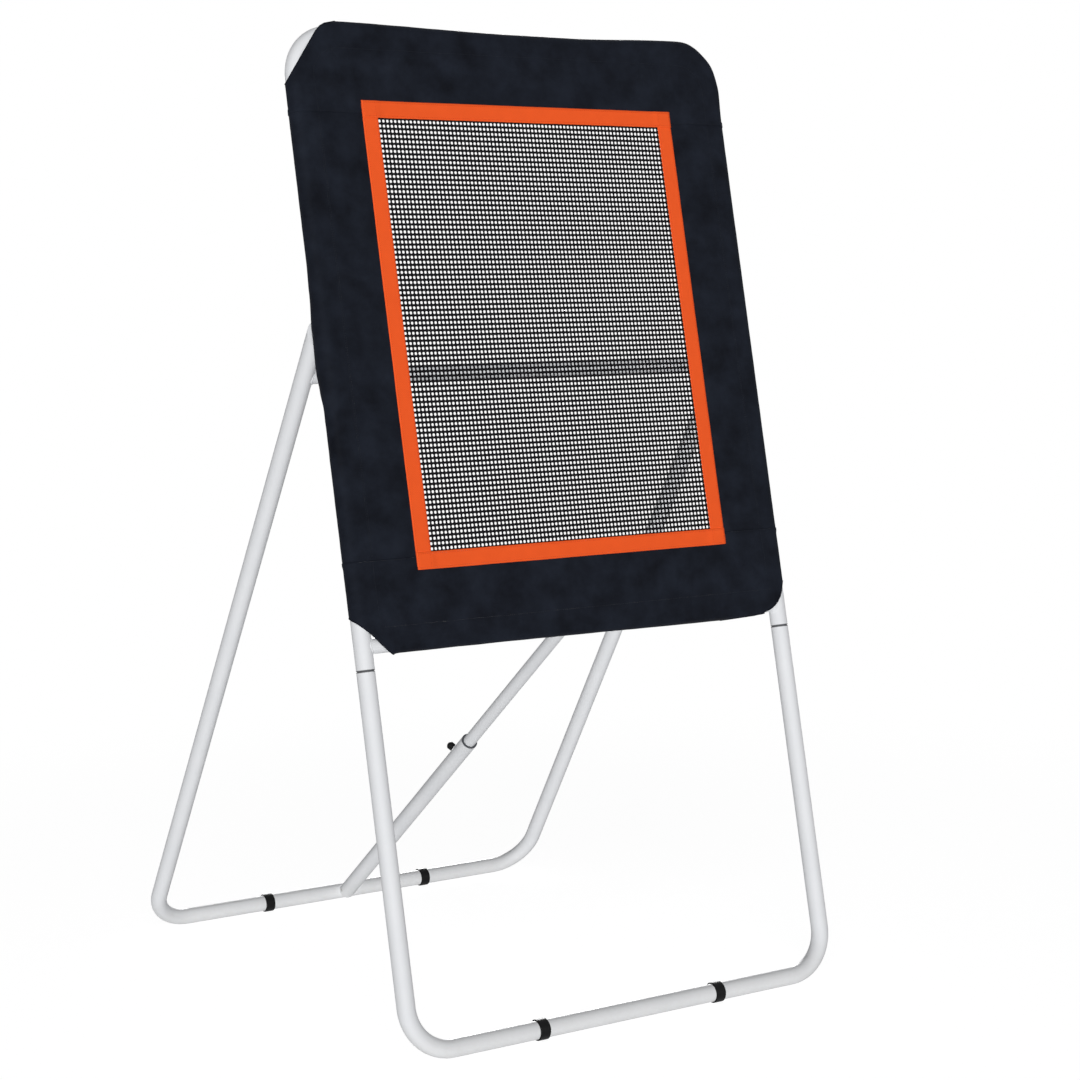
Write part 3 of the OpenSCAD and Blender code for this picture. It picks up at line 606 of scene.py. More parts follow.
def edge_lines(bm, tests):
    """Chains the free edges that lie on any of the cuts into lines of vertices."""
    # a list, as the mesh's own order of edges is the same in each run
    loose = [e for e in bm.edges if e.is_boundary
             and any(test(e.verts[0].co) and test(e.verts[1].co) for test in tests)]
    lines = []
    while loose:
        edge = loose.pop()
        line = [edge.verts[0], edge.verts[1]]
        for _ in (0, 1):
            growing = True
            while growing:
                growing = False
                for other in line[-1].link_edges:
                    if other in loose:
                        loose.remove(other)
                        line.append(other.other_vert(line[-1]))
                        growing = True
                        break
            line.reverse()
        lines.append(line)
    return lines


def crumple(bm, extra=None):
    """Moves the sheet's points off their smooth form."""
    bm.normal_update()
    moves = []
    for v in bm.verts:
        rise = cloth_rise(v.co.x, v.co.y, v.co.z)
        if extra:
            rise += extra(v.co)
        moves.append(v.normal * rise)
    for v, move in zip(list(bm.verts), moves):
        v.co += move


def thicken(bm, uv, thickness):
    """Gives an open sheet its thickness, half to each side, with closed edges."""
    bm.normal_update()
    verts, faces = list(bm.verts), list(bm.faces)
    rim = [e for e in bm.edges if e.is_boundary]
    half = [v.normal * (thickness / 2) for v in verts]
    back = {v: bm.verts.new(v.co - h) for v, h in zip(verts, half)}
    for v, h in zip(verts, half):
        v.co += h
    edges = []
    for edge in rim:
        loop = edge.link_loops[0]
        edges.append((loop.vert, loop.link_loop_next.vert, loop[uv].uv.copy()))
    for face in faces:
        places = [loop[uv].uv.copy() for loop in face.loops]
        under = bm.faces.new([back[v] for v in reversed(face.verts)])
        for loop, place in zip(under.loops, reversed(places)):
            loop[uv].uv = place
    for a, b, place in edges:
        for loop in bm.faces.new((b, a, back[a], back[b])).loops:
            loop[uv].uv = place


EDGE_R = 1.5


def binding(lines, name, material):
    """A folded and sewn edge, 3 mm thick, along the cut edges."""
    bm = bmesh.new()
    for line in lines:
        if len(line) > 2:
            sweep(bm, [v.co.copy() for v in line], EDGE_R, line[0] == line[-1])
    return piece(name, bm, screen, material, "screen_frame")


# Polyester cloth with a thin coat on its face. Its threads are 0.5 mm apart
# and drawn at 1.6 mm so that they show at all; the coat is duller where it was
# folded, in clouds of about 7 cm.
CLOTH_DARK, CLOTH_PALE = srgb("#12141A"), srgb("#20242D")
THREAD_PITCH, CLOTH_CLOUD = 0.0016, 0.07


def coated_polyester():
    material, tree, shader = finish_of(
        "coated_polyester_cloth", IOR=1.5, Specular_IOR_Level=0.02)
    place = add(tree, "ShaderNodeTexCoord").outputs["UV"]
    cloud = add(tree, "ShaderNodeTexNoise", {"Vector": place, "Scale": 1 / CLOTH_CLOUD,
                                             "Detail": 5.0, "Roughness": 0.6})
    tone = add(tree, "ShaderNodeMapRange", {
        "Value": cloud.outputs["Fac"], "From Min": 0.3, "From Max": 0.7})
    warp, weft = (add(tree, "ShaderNodeTexWave", {
        "Vector": place, "Scale": WAVE_UNIT / THREAD_PITCH}, bands_direction=way)
        for way in "XY")
    weave = add(tree, "ShaderNodeMath", {0: warp.outputs["Fac"], 1: weft.outputs["Fac"]},
                operation="ADD")
    thread = add(tree, "ShaderNodeMapRange", {
        "Value": weave.outputs[0], "From Max": 2.0, "To Min": -0.12, "To Max": 0.12})
    mixed = add(tree, "ShaderNodeMath", {0: tone.outputs[0], 1: thread.outputs[0]},
                operation="ADD", use_clamp=True)
    add(tree, "ShaderNodeMix", {
        0: mixed.outputs[0], 6: CLOTH_DARK, 7: CLOTH_PALE}, data_type="RGBA",
        to=shader.inputs["Base Color"])
    add(tree, "ShaderNodeMapRange", {
        "Value": cloud.outputs["Fac"], "From Min": 0.3, "From Max": 0.7,
        "To Min": 0.5, "To Max": 0.68}, to=shader.inputs["Roughness"])
    add(tree, "ShaderNodeBump", {
        "Height": weave.outputs[0], "Strength": 0.25, "Distance": 0.0003},
        to=shader.inputs["Normal"])
    return material


cloth = coated_polyester()


def cloth_piece(name, bm, uv, node, extra=None, cuts=(), pull=None):
    crumple(bm, extra)
    tests = [cut(bm, place, way) for place, way in cuts]
    lines = edge_lines(bm, tests)
    if pull:
        for v in bm.verts:
            v.co += pull(v.co)
    edges = [binding(lines, name + "_edge", cloth)] if lines else []
    area = sum(f.calc_area() for f in bm.faces) / 1e6
    thicken(bm, uv, CLOTH_T)
    made = piece(name, bm, screen, cloth, "screen_frame")
    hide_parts(node)
    return made


LAP_RISE, LAP_X = 1.2, (389, 398)


def lap_rise(x, up, start, end):
    """How far a sheet's last stretch rises over the next sheet, beside the webbing."""
    return LAP_RISE * smooth(start, end, up) * smooth(*LAP_X, abs(x))


# Top piece: a front sheet and one sleeve that follows the tube over both bends
top_low = WINDOW_HIGH - LAP
TOP_LAP = (top_low + LAP + 3, top_low + LAP - 2)
bend_up, bend_x = RAIL_UP - BEND_R, HALF_W - BEND_R
climb = spread(top_low, bend_up, CLIMB_STEP)
turns = spread(0, 90, 4)
stations = [(-HALF_W, up, (-1, 0), -HALF_W, up) for up in climb[:-1]]
for degrees in turns:
    a = math.radians(180 - degrees)
    way = (math.cos(a), math.sin(a))
    stations.append((-bend_x + BEND_R * way[0], bend_up + BEND_R * way[1], way,
                     -bend_x + BEND_R * way[0], bend_up + BEND_R * way[1]))
stations += [(x, RAIL_UP, (0, 1), x, RAIL_UP) for x in spread(-bend_x, bend_x)[1:-1]]
right = [(-x, up, (-ox, ou), -u, v) for x, up, (ox, ou), u, v in
         stations[:len(climb) - 1 + len(turns)]]
stations += reversed(right)
inner = spread(-SEAM_IN, 0)[:-1]
bm = bmesh.new()
uv = bm.loops.layers.uv.new("cloth")
sleeve(bm, uv, stations, inner)
columns = [(x - ox * SEAM_IN, up - ou * SEAM_IN) for x, up, (ox, ou), _, _ in
           stations[len(climb) - 1:len(stations) - len(climb) + 1]]
rows = []
for x, top in columns:
    ups = [top_low + (top - top_low) * k / (len(climb) - 1) for k in range(len(climb))]
    rows.append([(Vector((x, -SLEEVE_R, up)), (x, up)) for up in ups])
grid_of(bm, uv, rows)
outer_side_up(bm)
LEFT_CUT = ((-553, 1971.5), (-474, 2080), (-463, 2091.2), (-452, 2097.4), (-440, 2100))
LEFT_CUT_BACK = (0.53, 1, 0.34)
cloth_piece(
    "cover_top_cloth", bm, uv, "cover_top",
    extra=lambda p: lap_rise(p.x, p.z, *TOP_LAP) + top_slack(p.x, p.z),
    cuts=slanting_cuts(LEFT_CUT, LEFT_CUT_BACK))

# Bottom piece: a front sheet, a sleeve round the crossbar, and each side laps
# its tube below the crossbar's seam and is a sleeve above it
bottom_high = WINDOW_LOW + LAP
BOTTOM_LAP = (bottom_high - LAP - 3, bottom_high - LAP + 2)
BAR_X = 503
corner_low = 794
sleeve_low = CROSSBAR_UP + SEAM_IN
# below the crossbar's seam the cloth ends after so many points round the tube
LAP_POINTS = 12
bm = bmesh.new()
uv = bm.loops.layers.uv.new("cloth")
xs = (spread(-HALF_W, -BAR_X, SIDE_STEP) + spread(-BAR_X, BAR_X)[1:]
      + spread(BAR_X, HALF_W, SIDE_STEP)[1:])
low_ups = spread(corner_low, CROSSBAR_UP)
seam_ups = spread(CROSSBAR_UP, sleeve_low)
high_ups = spread(sleeve_low, bottom_high)
grid_of(bm, uv, [[(Vector((x, -SLEEVE_R, up)), (x, up)) for up in seam_ups[:-1] + high_ups]
                 for x in xs])
sleeve(bm, uv, [(x, CROSSBAR_UP, (0, -1), x, CROSSBAR_UP) for x in spread(-BAR_X, BAR_X)])
for side in (-1, 1):
    grid_of(bm, uv, [[(Vector((side * x, -SLEEVE_R, up)), (side * x, up)) for up in low_ups]
                     for x in spread(BAR_X, HALF_W, SIDE_STEP)])
    sleeve(bm, uv, [(side * HALF_W, up, (side, 0), side * HALF_W, up)
                    for up in low_ups[:-1] + seam_ups], part=LAP_POINTS)
    sleeve(bm, uv, [(side * HALF_W, up, (side, 0), side * HALF_W, up) for up in high_ups])
outer_side_up(bm)
CRADLE_GAP, BACK_END = 30.6, 60
cut_out(bm, (STRUT_X - CRADLE_GAP, 0, 0), (STRUT_X + CRADLE_GAP, BACK_END, 2 * CROSSBAR_UP))
# the right corner is cut round, on a curve between an ellipse and a rectangle
ROUND_AT, ROUND_W, ROUND_H, ROUND_POWER = (425, 868), 107.5, 76, 0.9
round_cut = []
for degrees in range(10, 91, 8):
    a = math.radians(degrees)
    round_cut.append((ROUND_AT[0] + ROUND_W * math.cos(a) ** ROUND_POWER,
                      ROUND_AT[1] - ROUND_H * math.sin(a) ** ROUND_POWER))
ROUND_BACK = (0.77, 1, 0.045)
LEFT_TIP, LEFT_END = (-468, 792), (-554.7, 870.8)
LEFT_BACK = (0.53, 1, 0.05)
CUT_HOLLOW, HOLLOW_H, HOLLOW_POWER = 7, 60, 1.25
FIT_RUN = 25
# what hangs below the crossbar: from where, a tip at the left and a sag that
# grows to the right
HANG_UP = (814, 800)
TIP_X, TIP_W, TIP_DROP, TIP_MOST, TIP_POWER = -440, 28, 6, 7, 2.2
SAG_LEFT, SAG_MORE, SAG_X = 1.3, 4.2, (-300, 430)


def bottom_extra(p):
    """The lap at the upper seam, the sleeve's slack at the right and the tip that hangs down."""
    tip = TIP_DROP * max(0, (TIP_X - p.x) / TIP_W) ** TIP_POWER
    sag = SAG_LEFT + SAG_MORE * smooth(*SAG_X, p.x)
    return lap_rise(p.x, p.z, *BOTTOM_LAP) + smooth(*HANG_UP, p.z) * (min(tip, TIP_MOST) + sag)


def bottom_pull(p):
    """The sleeve's lower end fits the thinner crossbar; the left cut is a little hollow."""
    near_bar = (smooth(BAR_X, BAR_X - FIT_RUN, abs(p.x))
                * smooth(CROSSBAR_UP + SEAM_IN, CROSSBAR_UP, p.z))
    inward = Vector((0, -p.y, max(CROSSBAR_UP - p.z, 0)))
    move = inward.normalized() * ((TUBE_R - CROSSBAR_R) * near_bar)
    behind = p.y + SLEEVE_R
    x, up = p.x - LEFT_BACK[0] * behind, p.z - LEFT_BACK[2] * behind
    along = (LEFT_TIP[0] - x) / (LEFT_TIP[0] - LEFT_END[0])
    if 0 < along < 1:
        line = LEFT_TIP[1] + (LEFT_END[1] - LEFT_TIP[1]) * along
        move.z += (CUT_HOLLOW * math.sin(math.pi * along ** HOLLOW_POWER)
                   * smooth(HOLLOW_H, 0, abs(up - line)))
    return move


cloth_piece(
    "cover_bottom_cloth", bm, uv, "cover_bottom", extra=bottom_extra,
    cuts=slanting_cuts((LEFT_TIP, LEFT_END), LEFT_BACK) + slanting_cuts(round_cut, ROUND_BACK),
    pull=bottom_pull)

# Side pieces: a front strip beside the net and a sleeve, with a slit at the
# pivot's lug; under the webbing their ends go behind the top and bottom pieces
SLIT = ((506.4, 0, 1407), (517.4, BACK_END, 1453))
TUCK_DEPTH = 1.05


def tucked(p):
    """The side pieces' ends lie behind the top and the bottom piece."""
    ends = (smooth(top_low - 4, top_low + 1, p.z)
            + smooth(bottom_high + 4, bottom_high - 1, p.z))
    return -TUCK_DEPTH * ends * smooth(*reversed(LAP_X), abs(p.x))


for side, word in ((-1, "left"), (1, "right")):
    bm = bmesh.new()
    uv = bm.loops.layers.uv.new("cloth")
    ups = (spread(WINDOW_LOW, SLIT[0][2]) + spread(SLIT[0][2], SLIT[1][2])[1:]
           + spread(SLIT[1][2], WINDOW_HIGH)[1:])
    sleeve(bm, uv, [(side * HALF_W, up, (side, 0), side * HALF_W, up) for up in ups],
           spread(WINDOW_X - HALF_W, 0)[:-1])
    outer_side_up(bm)
    low = [min(side * SLIT[0][0], side * SLIT[1][0]), SLIT[0][1], SLIT[0][2]]
    high = [max(side * SLIT[0][0], side * SLIT[1][0]), SLIT[1][1], SLIT[1][2]]
    cut_out(bm, low, high)
    cloth_piece("cover_" + word + "_cloth", bm, uv, "cover_" + word,
                extra=tucked)

# ---------------------------------------------------------------- border
# Four strips of woven polypropylene webbing, 36 mm wide, sewn over the edge
# between cover and net with two rows of stitches; the upper and the lower
# strip lie over the ends of the side strips.

WEBBING_W, WEBBING_T = 36, 1.2
WEBBING_DEPTH = -21.5
TUCK = 30
STRIP_PUCKER, STRIP_SWAY = 0.18, 0.35
OVER_RISE, OVER_RUN = 1.25, 10
EDGE_DROP, EDGE_W = 0.3, 2.5


def webbing_depth(x, up, lies_over):
    """Depth of a strip's middle: it puckers a little between its stitches."""
    depth = WEBBING_DEPTH - STRIP_PUCKER * noise.noise(Vector((x / 22, up / 22, 8)))
    if lies_over:
        inner_edge = BORDER_X - WEBBING_W
        depth -= OVER_RISE * smooth(inner_edge - OVER_RUN, inner_edge, abs(x))
    return depth


def strip_mesh(x, up, width, length, lies_over):
    """A strip from its lower left corner; the longer way is along the webbing."""
    bm = bmesh.new()
    uv = bm.loops.layers.uv.new("webbing")
    rows = []
    for u in spread(x, x + width, 3 if width < length else 5):
        row = []
        for v in spread(up, up + length, 5 if width < length else 3):
            sway = STRIP_SWAY * noise.noise(Vector((u / 90, v / 90, 3)))
            flat = (v, u) if width < length else (u, v)
            edge = min(u - x, x + width - u) if width < length else min(v - up, up + length - v)
            depth = webbing_depth(u, v, lies_over) + EDGE_DROP * smooth(EDGE_W, 0, edge)
            row.append((Vector((u + sway, depth, v + sway)), flat))
        rows.append(row)
    grid_of(bm, uv, rows)
    outer_side_up(bm)
    return bm, uv


# Ribs of the webbing lie 1.7 mm apart, drawn at 3.4 mm so that they show, in a
# herringbone of 9 mm rows; painted shade darkens the valleys between the ribs.
WEBBING_ORANGE, WEBBING_DEEP_AND_VALLEY_SHADE = srgb("#F55F28"), srgb("#C8451C")
RIB_PITCH, ROW_W = 0.0034, 0.009
CLOUDS_PER_METRE = 30


def woven_polypropylene():
    material, tree, shader = finish_of(
        "woven_polypropylene_webbing", IOR=1.49, Specular_IOR_Level=0.06)
    place = add(tree, "ShaderNodeTexCoord").outputs["UV"]
    parts = add(tree, "ShaderNodeSeparateXYZ", {0: place})
    zigzag = add(tree, "ShaderNodeMath", {0: parts.outputs["Y"], 1: ROW_W / 2},
                 operation="PINGPONG")
    skewed = add(tree, "ShaderNodeMath", {0: parts.outputs["X"], 1: zigzag.outputs[0]},
                 operation="ADD")
    turns = add(tree, "ShaderNodeMath", {0: skewed.outputs[0], 1: 2 * math.pi / RIB_PITCH},
                operation="MULTIPLY")
    rib = add(tree, "ShaderNodeMath", {0: turns.outputs[0]}, operation="SINE")
    height = add(tree, "ShaderNodeMapRange", {"Value": rib.outputs[0], "From Min": -1.0})
    cloud = add(tree, "ShaderNodeTexNoise", {"Vector": place, "Scale": CLOUDS_PER_METRE, "Detail": 4.0})
    shade = add(tree, "ShaderNodeMath", {0: cloud.outputs["Fac"], 1: 0.25}, operation="MULTIPLY")
    # painted shade: the lower the ribs' surface, the more of the deep orange, so that the valleys
    # between the ribs look shaded
    low = add(tree, "ShaderNodeMapRange", {
        "Value": height.outputs[0], "From Max": 0.6, "To Min": 0.35, "To Max": 0.0})
    cloud_and_valley_shade = add(tree, "ShaderNodeMath", {0: shade.outputs[0], 1: low.outputs[0]}, operation="ADD")
    add(tree, "ShaderNodeMix", {
        0: cloud_and_valley_shade.outputs[0], 6: WEBBING_ORANGE, 7: WEBBING_DEEP_AND_VALLEY_SHADE}, data_type="RGBA",
        to=shader.inputs["Base Color"])
    shader.inputs["Roughness"].default_value = 0.6
    add(tree, "ShaderNodeBump", {
        "Height": height.outputs[0], "Strength": 0.35, "Distance": 0.0005},
        to=shader.inputs["Normal"])
    return material


webbing = woven_polypropylene()
side_low, side_high = BORDER_LOW + WEBBING_W, BORDER_HIGH - WEBBING_W
STRIPS = (
    ("top", -BORDER_X, side_high, 2 * BORDER_X, WEBBING_W, True),
    ("bottom", -BORDER_X, BORDER_LOW, 2 * BORDER_X, WEBBING_W, True),
    ("left", -BORDER_X, side_low - TUCK, WEBBING_W, side_high - side_low + 2 * TUCK, False),
    ("right", BORDER_X - WEBBING_W, side_low - TUCK, WEBBING_W,
     side_high - side_low + 2 * TUCK, False))
for word, x, up, width, length, over in STRIPS:
    bm, uv = strip_mesh(x, up, width, length, over)
    thicken(bm, uv, WEBBING_T)
    made = piece("webbing_" + word, bm, screen, webbing, "screen_frame")
    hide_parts("border_" + word)

# ---------------------------------------------------------------- stitches
# Lock stitches in bonded polyester thread, 0.9 mm thick and 5 mm apart: orange
# on the webbing, black along the cover's seams.

STITCH_LONG, STITCH_THICK, STITCH_STEP, STITCH_UP = 3.6, 0.9, 5, 0.15
ROW_IN, SEAM_HALF, SEAM_END = 4, 1.5, 884
PLY_SIZE = 0.001
BEND_ROWS = 8
THREAD_ORANGE, THREAD_ORANGE_DEEP = srgb("#D94E22"), srgb("#B03D18")
THREAD_BLACK, THREAD_BLACK_PALE = srgb("#14161B"), srgb("#22252D")


def sewing_thread(name, colour_a, colour_b):
    material, tree, shader = finish_of(name, IOR=1.5, Roughness=0.55, Specular_IOR_Level=0.08)
    place = add(tree, "ShaderNodeTexCoord").outputs["Object"]
    # the thread's twist, 0.6 mm, is drawn at 1 mm
    ply = add(tree, "ShaderNodeTexWave", {"Vector": place, "Scale": WAVE_UNIT / PLY_SIZE,
                                          "Distortion": 2.0}, bands_direction="DIAGONAL")
    add(tree, "ShaderNodeMix", {
        0: ply.outputs["Fac"], 6: colour_a, 7: colour_b}, data_type="RGBA",
        to=shader.inputs["Base Color"])
    return material


def stitch(bm, middle, along):
    """One stitch: a grain of thread that dips into the cloth at both ends."""
    along = along.normalized()
    out = Vector((0, -1, 0))
    side = along.cross(out).normalized()
    half, thick = STITCH_LONG / 2, STITCH_THICK / 2
    rings = []
    for t, fat, sink in ((-1, 0.35, -0.35), (-0.6, 0.9, 0.1), (0.6, 0.9, 0.1), (1, 0.35, -0.35)):
        centre = middle + along * (half * t) + out * sink
        rings.append([bm.verts.new(centre + side * (thick * fat * a) + out * (thick * fat * b))
                      for a, b in ((-1, 0), (0, 1), (1, 0), (0, -1))])
    for near, far in zip(rings, rings[1:]):
        for k in range(4):
            bm.faces.new((near[k], near[(k + 1) % 4], far[(k + 1) % 4], far[k]))
    bm.faces.new(list(reversed(rings[0])))
    bm.faces.new(rings[-1])


def stitch_row(bm, start, end, depth_at):
    """A row of stitches from one [x, up] to another, at the depth that the cloth has there."""
    run = Vector((end[0] - start[0], 0, end[1] - start[1]))
    count = int(run.length / STITCH_STEP)
    for k in range(count):
        x, up = (start[i] + (end[i] - start[i]) * (k + 0.5) / count for i in (0, 1))
        stitch(bm, Vector((x, depth_at(x, up), up)), run)


def on_side_strip(x, up):
    """Depth of the webbing's face."""
    return webbing_depth(x, up, False) - WEBBING_T / 2 - STITCH_UP


def on_level_strip(x, up):
    """The same on the strips that lie over the ends of the others."""
    return webbing_depth(x, up, True) - WEBBING_T / 2 - STITCH_UP


stitches = bmesh.new()
for word, x, up, width, length, over in STRIPS:
    if over:
        for v in (up + ROW_IN, up + length - ROW_IN):
            stitch_row(stitches, (x + ROW_IN, v), (x + width - ROW_IN, v), on_level_strip)
    else:
        for u in (x + ROW_IN, x + width - ROW_IN):
            stitch_row(stitches, (u, side_low + 1), (u, side_high - 1), on_side_strip)
for side in (-1, 1):
    for edge, end in ((side_low, -1), (side_high, 1)):
        # a row closes each corner where the strips lie over each other
        inside = edge + end * ROW_IN
        for u in (BORDER_X - ROW_IN, BORDER_X - WEBBING_W + ROW_IN):
            stitch_row(stitches, (side * u, inside),
                       (side * u, inside + end * (WEBBING_W - 2 * ROW_IN)), on_level_strip)
webbing_stitches = piece("webbing_stitches", stitches, screen,
                         sewing_thread("orange_sewing_thread", THREAD_ORANGE, THREAD_ORANGE_DEEP),
                         "screen_frame")


def on_cover(x, up):
    """Depth of the cover's face where a seam runs."""
    lap = 0
    if up > WINDOW_HIGH - LAP - 1:
        lap = lap_rise(x, up, *TOP_LAP)
    if up < WINDOW_LOW + LAP + 1:
        lap = lap_rise(x, up, *BOTTOM_LAP)
    return -SLEEVE_R - CLOTH_T / 2 - cloth_rise(x, -SLEEVE_R, up) - lap - 0.1


stitches = bmesh.new()
seam_x, inner_r = HALF_W - SEAM_IN, BEND_R - SEAM_IN
for side in (-1, 1):
    for up in (top_low + 3, bottom_high - 3):
        stitch_row(stitches, (side * (BORDER_X + 3), up), (side * HALF_W, up), on_cover)
    for offset in (-SEAM_HALF, SEAM_HALF):
        stitch_row(stitches, (side * (seam_x + offset), WINDOW_LOW + LAP + 6),
                   (side * (seam_x + offset), WINDOW_HIGH - LAP - 6), on_cover)
    stitch_row(stitches, (side * seam_x, top_low + 6), (side * seam_x, bend_up), on_cover)
    stitch_row(stitches, (side * seam_x, bottom_high - 6), (side * seam_x, SEAM_END),
               on_cover)
    bend = []
    for k in range(BEND_ROWS + 1):
        a = math.radians(90 * k / BEND_ROWS)
        bend.append((side * (bend_x + inner_r * math.cos(a)), bend_up + inner_r * math.sin(a)))
    for start, end in zip(bend, bend[1:]):
        stitch_row(stitches, start, end, on_cover)
seam_up, low_seam_up = RAIL_UP - SEAM_IN, CROSSBAR_UP + SEAM_IN
stitch_row(stitches, (-bend_x, seam_up), (bend_x, seam_up), on_cover)
stitch_row(stitches, (-BAR_X + 20, low_seam_up), (BAR_X - 4, low_seam_up), on_cover)
piece("cover_stitches", stitches, screen,
      sewing_thread("black_sewing_thread", THREAD_BLACK, THREAD_BLACK_PALE),
      "screen_frame")

# ---------------------------------------------------------------- net
# Knitted polyester netting, 76 by 85 small holes in the border's opening, and
# three more on every side under the webbing, where it is sewn in. Its bars
# are thickest at the knots, and the level ones are heavier than the upright.

NET_ACROSS, NET_UP, NET_HIDDEN = 76, 85, 3
NET_DEPTH = -17.4
BAR_T, KNOT_T = 1.4, 1.8
HOLE_W, HOLE_H, HOLE_CORNER = 5.6, 6.3, 0.78
HOLE_LEAST, HOLE_MOST, NET_SWAY = 0.97, 1.02, 0.12
RING = ((-1, -1), (0, -1), (1, -1), (1, 0), (1, 1), (0, 1), (-1, 1), (-1, 0))


def net_mesh():
    """The net, each hole a ring of eight points, and its flat size in metres."""
    cell_w = 2 * (BORDER_X - WEBBING_W) / NET_ACROSS
    cell_h = (side_high - side_low) / NET_UP
    across, high = NET_ACROSS + 2 * NET_HIDDEN, NET_UP + 2 * NET_HIDDEN
    left = -BORDER_X + WEBBING_W - NET_HIDDEN * cell_w
    low = side_low - NET_HIDDEN * cell_h
    points, faces = [], []

    def surface(i, j):
        """Place of a knot, or of the middle of a bar where i or j is a half."""
        x, up = left + i * cell_w, low + j * cell_h
        depth = NET_DEPTH + 0.5 * noise.noise(Vector((x / 90, up / 90, 2)))
        sway = Vector((noise.noise(Vector((x / 14, up / 14, 4))),
                       0, noise.noise(Vector((x / 14, up / 14, 6))))) * NET_SWAY
        return Vector((x, depth, up)) + sway

    lookup = {}

    def point(i2, j2, face):
        """A point of the front (-1) or back (1) face, by half cells."""
        key = (i2, j2, face)
        if key not in lookup:
            knot = i2 % 2 == 0 and j2 % 2 == 0
            half = (KNOT_T if knot else BAR_T) / 2
            lookup[key] = len(points)
            points.append(surface(i2 / 2, j2 / 2) + Vector((0, face * half, 0)))
        return lookup[key]

    for i in range(across):
        for j in range(high):
            middle = surface(i + 0.5, j + 0.5)
            wide = HOLE_W / 2 * random.uniform(HOLE_LEAST, HOLE_MOST)
            tall = HOLE_H / 2 * random.uniform(HOLE_LEAST, HOLE_MOST)
            ring = []
            for a, b in RING:
                shape = HOLE_CORNER if a and b else 1
                ring.append(len(points))
                points.append(middle + Vector((a * wide * shape, 0, b * tall * shape)))
            for face in (-1, 1):
                outer = [point(2 * i + 1 + a, 2 * j + 1 + b, face) for a, b in RING]
                for k in range(8):
                    m = (k + 1) % 8
                    quad = (outer[k], outer[m], ring[m], ring[k])
                    faces.append(quad if face < 0 else tuple(reversed(quad)))
    wide, tall = 2 * across, 2 * high
    rim = [((i, j), (i + 1, j), j > 0) for i in range(wide) for j in (0, tall)]
    rim += [((i, j), (i, j + 1), i == 0) for j in range(tall) for i in (0, wide)]
    for near, far, flip in rim:
        quad = (point(*near, -1), point(*near, 1), point(*far, 1), point(*far, -1))
        faces.append(tuple(reversed(quad)) if flip else quad)
    mesh = bpy.data.meshes.new("net_draft")
    mesh.from_pydata(points, [], faces)
    bm = bmesh.new()
    bm.from_mesh(mesh)
    bpy.data.meshes.remove(mesh)
    return bm, (across * cell_w / 1000, high * cell_h / 1000)


# The yarn is dull black polyester with loops about 0.8 mm long, drawn at 1.2 mm.
NET_BLACK, NET_PALE = srgb("#0B0B0D"), srgb("#1A1A1D")
LOOP_SIZE = 0.0012


def knitted_polyester():
    material, tree, shader = finish_of("knitted_polyester_net", IOR=1.5, Roughness=0.8,
                                       Specular_IOR_Level=0.04)
    place = add(tree, "ShaderNodeTexCoord").outputs["Object"]
    loops = add(tree, "ShaderNodeTexNoise", {"Vector": place, "Scale": 1 / LOOP_SIZE,
                                             "Detail": 2.0})
    add(tree, "ShaderNodeMix", {
        0: loops.outputs["Fac"], 6: NET_BLACK, 7: NET_PALE}, data_type="RGBA",
        to=shader.inputs["Base Color"])
    add(tree, "ShaderNodeBump", {
        "Height": loops.outputs["Fac"], "Strength": 0.4, "Distance": 0.0004},
        to=shader.inputs["Normal"])
    return material


bm, net_size = net_mesh()
net_area = sum(f.calc_area() for f in bm.faces) / 2e6
net = piece("net_mesh", bm, screen, knitted_polyester(), "screen_frame")
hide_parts("net")

# ---------------------------------------------------------------- floor
# A white studio floor that takes a faint shadow near the stand and fades into
# the white background further out.

FLOOR_HALF = 30
FADE_NEAR, FADE_FAR = 1.6, 3.6
PAPER_GREY, PAPER_GLOW, BOUNCE_GREY = 0.3, 0.863, 0.45


def grey(value):
    return value, value, value, 1


def seen_directly(tree):
    """1 for the rays that show a surface to the lens, straight or by gloss or glass."""
    rays = add(tree, "ShaderNodeLightPath")
    lens_or_gloss = add(tree, "ShaderNodeMath", {
        0: rays.outputs["Is Camera Ray"], 1: rays.outputs["Is Glossy Ray"]}, operation="MAXIMUM")
    return add(tree, "ShaderNodeMath", {
        0: lens_or_gloss.outputs[0], 1: rays.outputs["Is Transmission Ray"]},
        operation="MAXIMUM").outputs[0]


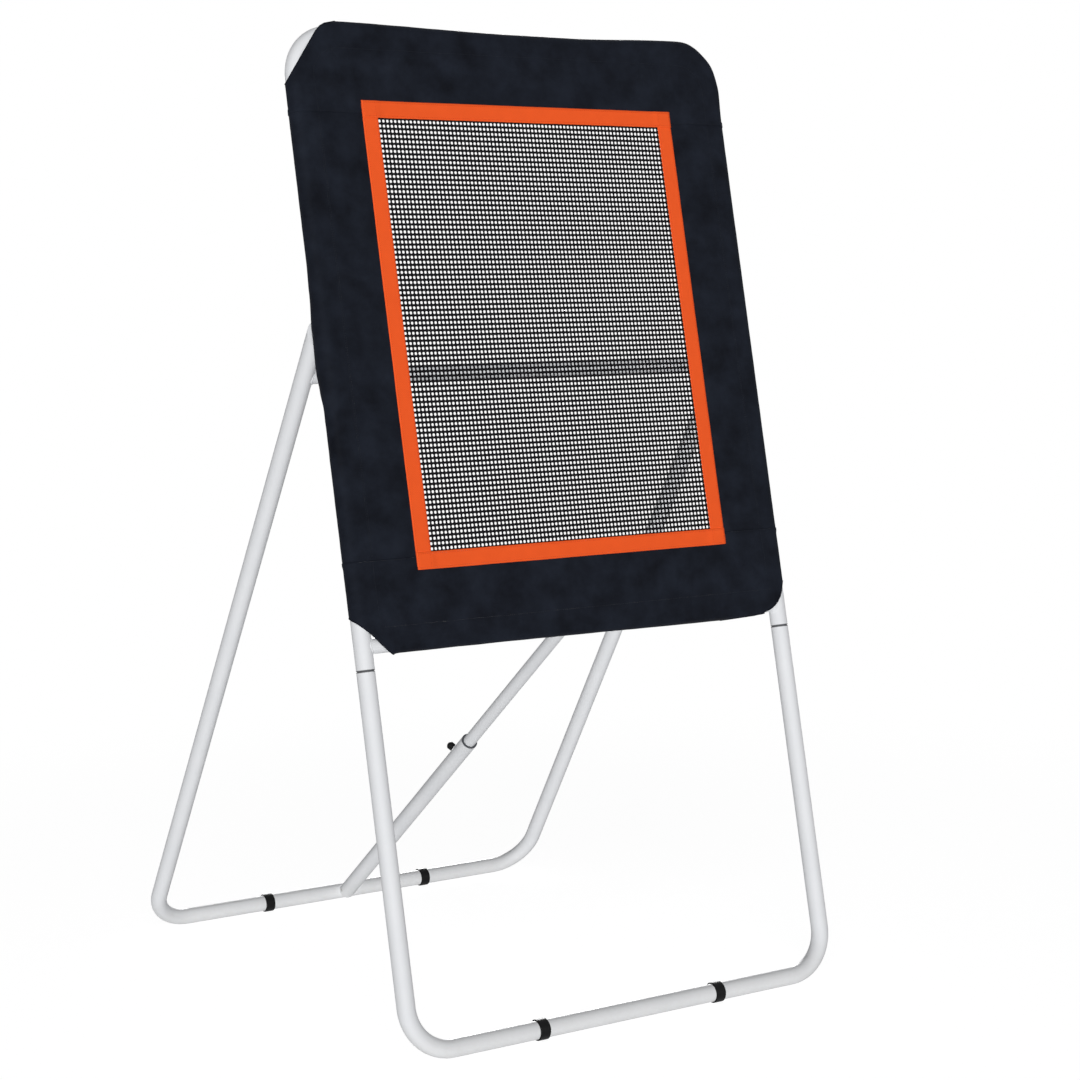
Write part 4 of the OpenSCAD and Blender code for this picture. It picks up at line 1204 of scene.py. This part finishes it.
def studio_floor():
    material = bpy.data.materials.new("studio_floor")
    material.use_nodes = True
    tree = material.node_tree
    tree.nodes.clear()
    place = add(tree, "ShaderNodeTexCoord").outputs["Object"]
    away = add(tree, "ShaderNodeVectorMath", {0: place}, operation="LENGTH")
    far = add(tree, "ShaderNodeMapRange", {
        "Value": away.outputs["Value"], "From Min": FADE_NEAR, "From Max": FADE_FAR},
        interpolation_type="SMOOTHSTEP")
    paper = add(tree, "ShaderNodeBsdfDiffuse", {"Color": grey(PAPER_GREY)})
    glow = add(tree, "ShaderNodeEmission", {"Color": grey(1), "Strength": PAPER_GLOW})
    near = add(tree, "ShaderNodeAddShader", {0: paper.outputs[0], 1: glow.outputs[0]})
    white = add(tree, "ShaderNodeEmission", {"Color": grey(1), "Strength": 1.0})
    seen = add(tree, "ShaderNodeMixShader", {
        0: far.outputs[0], 1: near.outputs[0], 2: white.outputs[0]})
    lit = add(tree, "ShaderNodeBsdfDiffuse", {"Color": grey(BOUNCE_GREY)})
    mixed = add(tree, "ShaderNodeMixShader", {
        0: seen_directly(tree), 1: lit.outputs[0], 2: seen.outputs[0]})
    add(tree, "ShaderNodeOutputMaterial", {"Surface": mixed.outputs[0]})
    return material


bm = bmesh.new()
bmesh.ops.create_grid(bm, x_segments=8, y_segments=8, size=FLOOR_HALF)
floor_mesh = bpy.data.meshes.new("floor")
bm.to_mesh(floor_mesh)
bm.free()
floor_mesh.materials.append(studio_floor())
floor = bpy.data.objects.new("floor", floor_mesh)
scene.collection.objects.link(floor)

# ---------------------------------------------------------------- light
# A ring light round the lens, a low fill on the left and a fill on the right
# light the front alike, without shadows, and one more lights the back. A large
# soft lamp high on the left gives the shadows. The white room is seen in gloss,
# and lights the rest with a dark grey, which keeps the tubes' edges distinct.

MIDDLE = Vector((0, 0, 1.1))
ROOM_GREY = (0.09, 0.09, 0.092, 1)


def lamp(name, kind, place, aim, energy, **settings):
    data = bpy.data.lights.new(name, kind)
    data.energy = energy
    for key, value in settings.items():
        setattr(data, key, value)
    made = bpy.data.objects.new(name, data)
    made.location = place
    made.rotation_euler = (aim - Vector(place)).to_track_quat("-Z", "Y").to_euler()
    scene.collection.objects.link(made)


lamp("ring_light", "SUN", CAMERA_AT, MIDDLE, 1.9, use_shadow=False)
lamp("low_fill", "SUN", (-4, -1, -1.75), MIDDLE, 0.8, use_shadow=False)
lamp("right_fill", "SUN", (2.5, -4.25, 1.85), MIDDLE, 0.6, use_shadow=False)
lamp("back_light", "SUN", (2.6, 4.4, 2.4), MIDDLE, 2.8, use_shadow=False)
lamp("soft_key", "AREA", (-2.4, -4.4, 4.2), MIDDLE, 45, shape="DISK", size=2.6)

world = bpy.data.worlds.new("white_room")
scene.world = world
world.use_nodes = True
world.node_tree.nodes.clear()
soft = add(world.node_tree, "ShaderNodeBackground", {"Color": ROOM_GREY})
white = add(world.node_tree, "ShaderNodeBackground", {"Color": grey(1)})
mixed = add(world.node_tree, "ShaderNodeMixShader", {
    0: seen_directly(world.node_tree), 1: soft.outputs[0], 2: white.outputs[0]})
add(world.node_tree, "ShaderNodeOutputWorld", {"Surface": mixed.outputs[0]})

scene.view_settings.view_transform = "Standard"
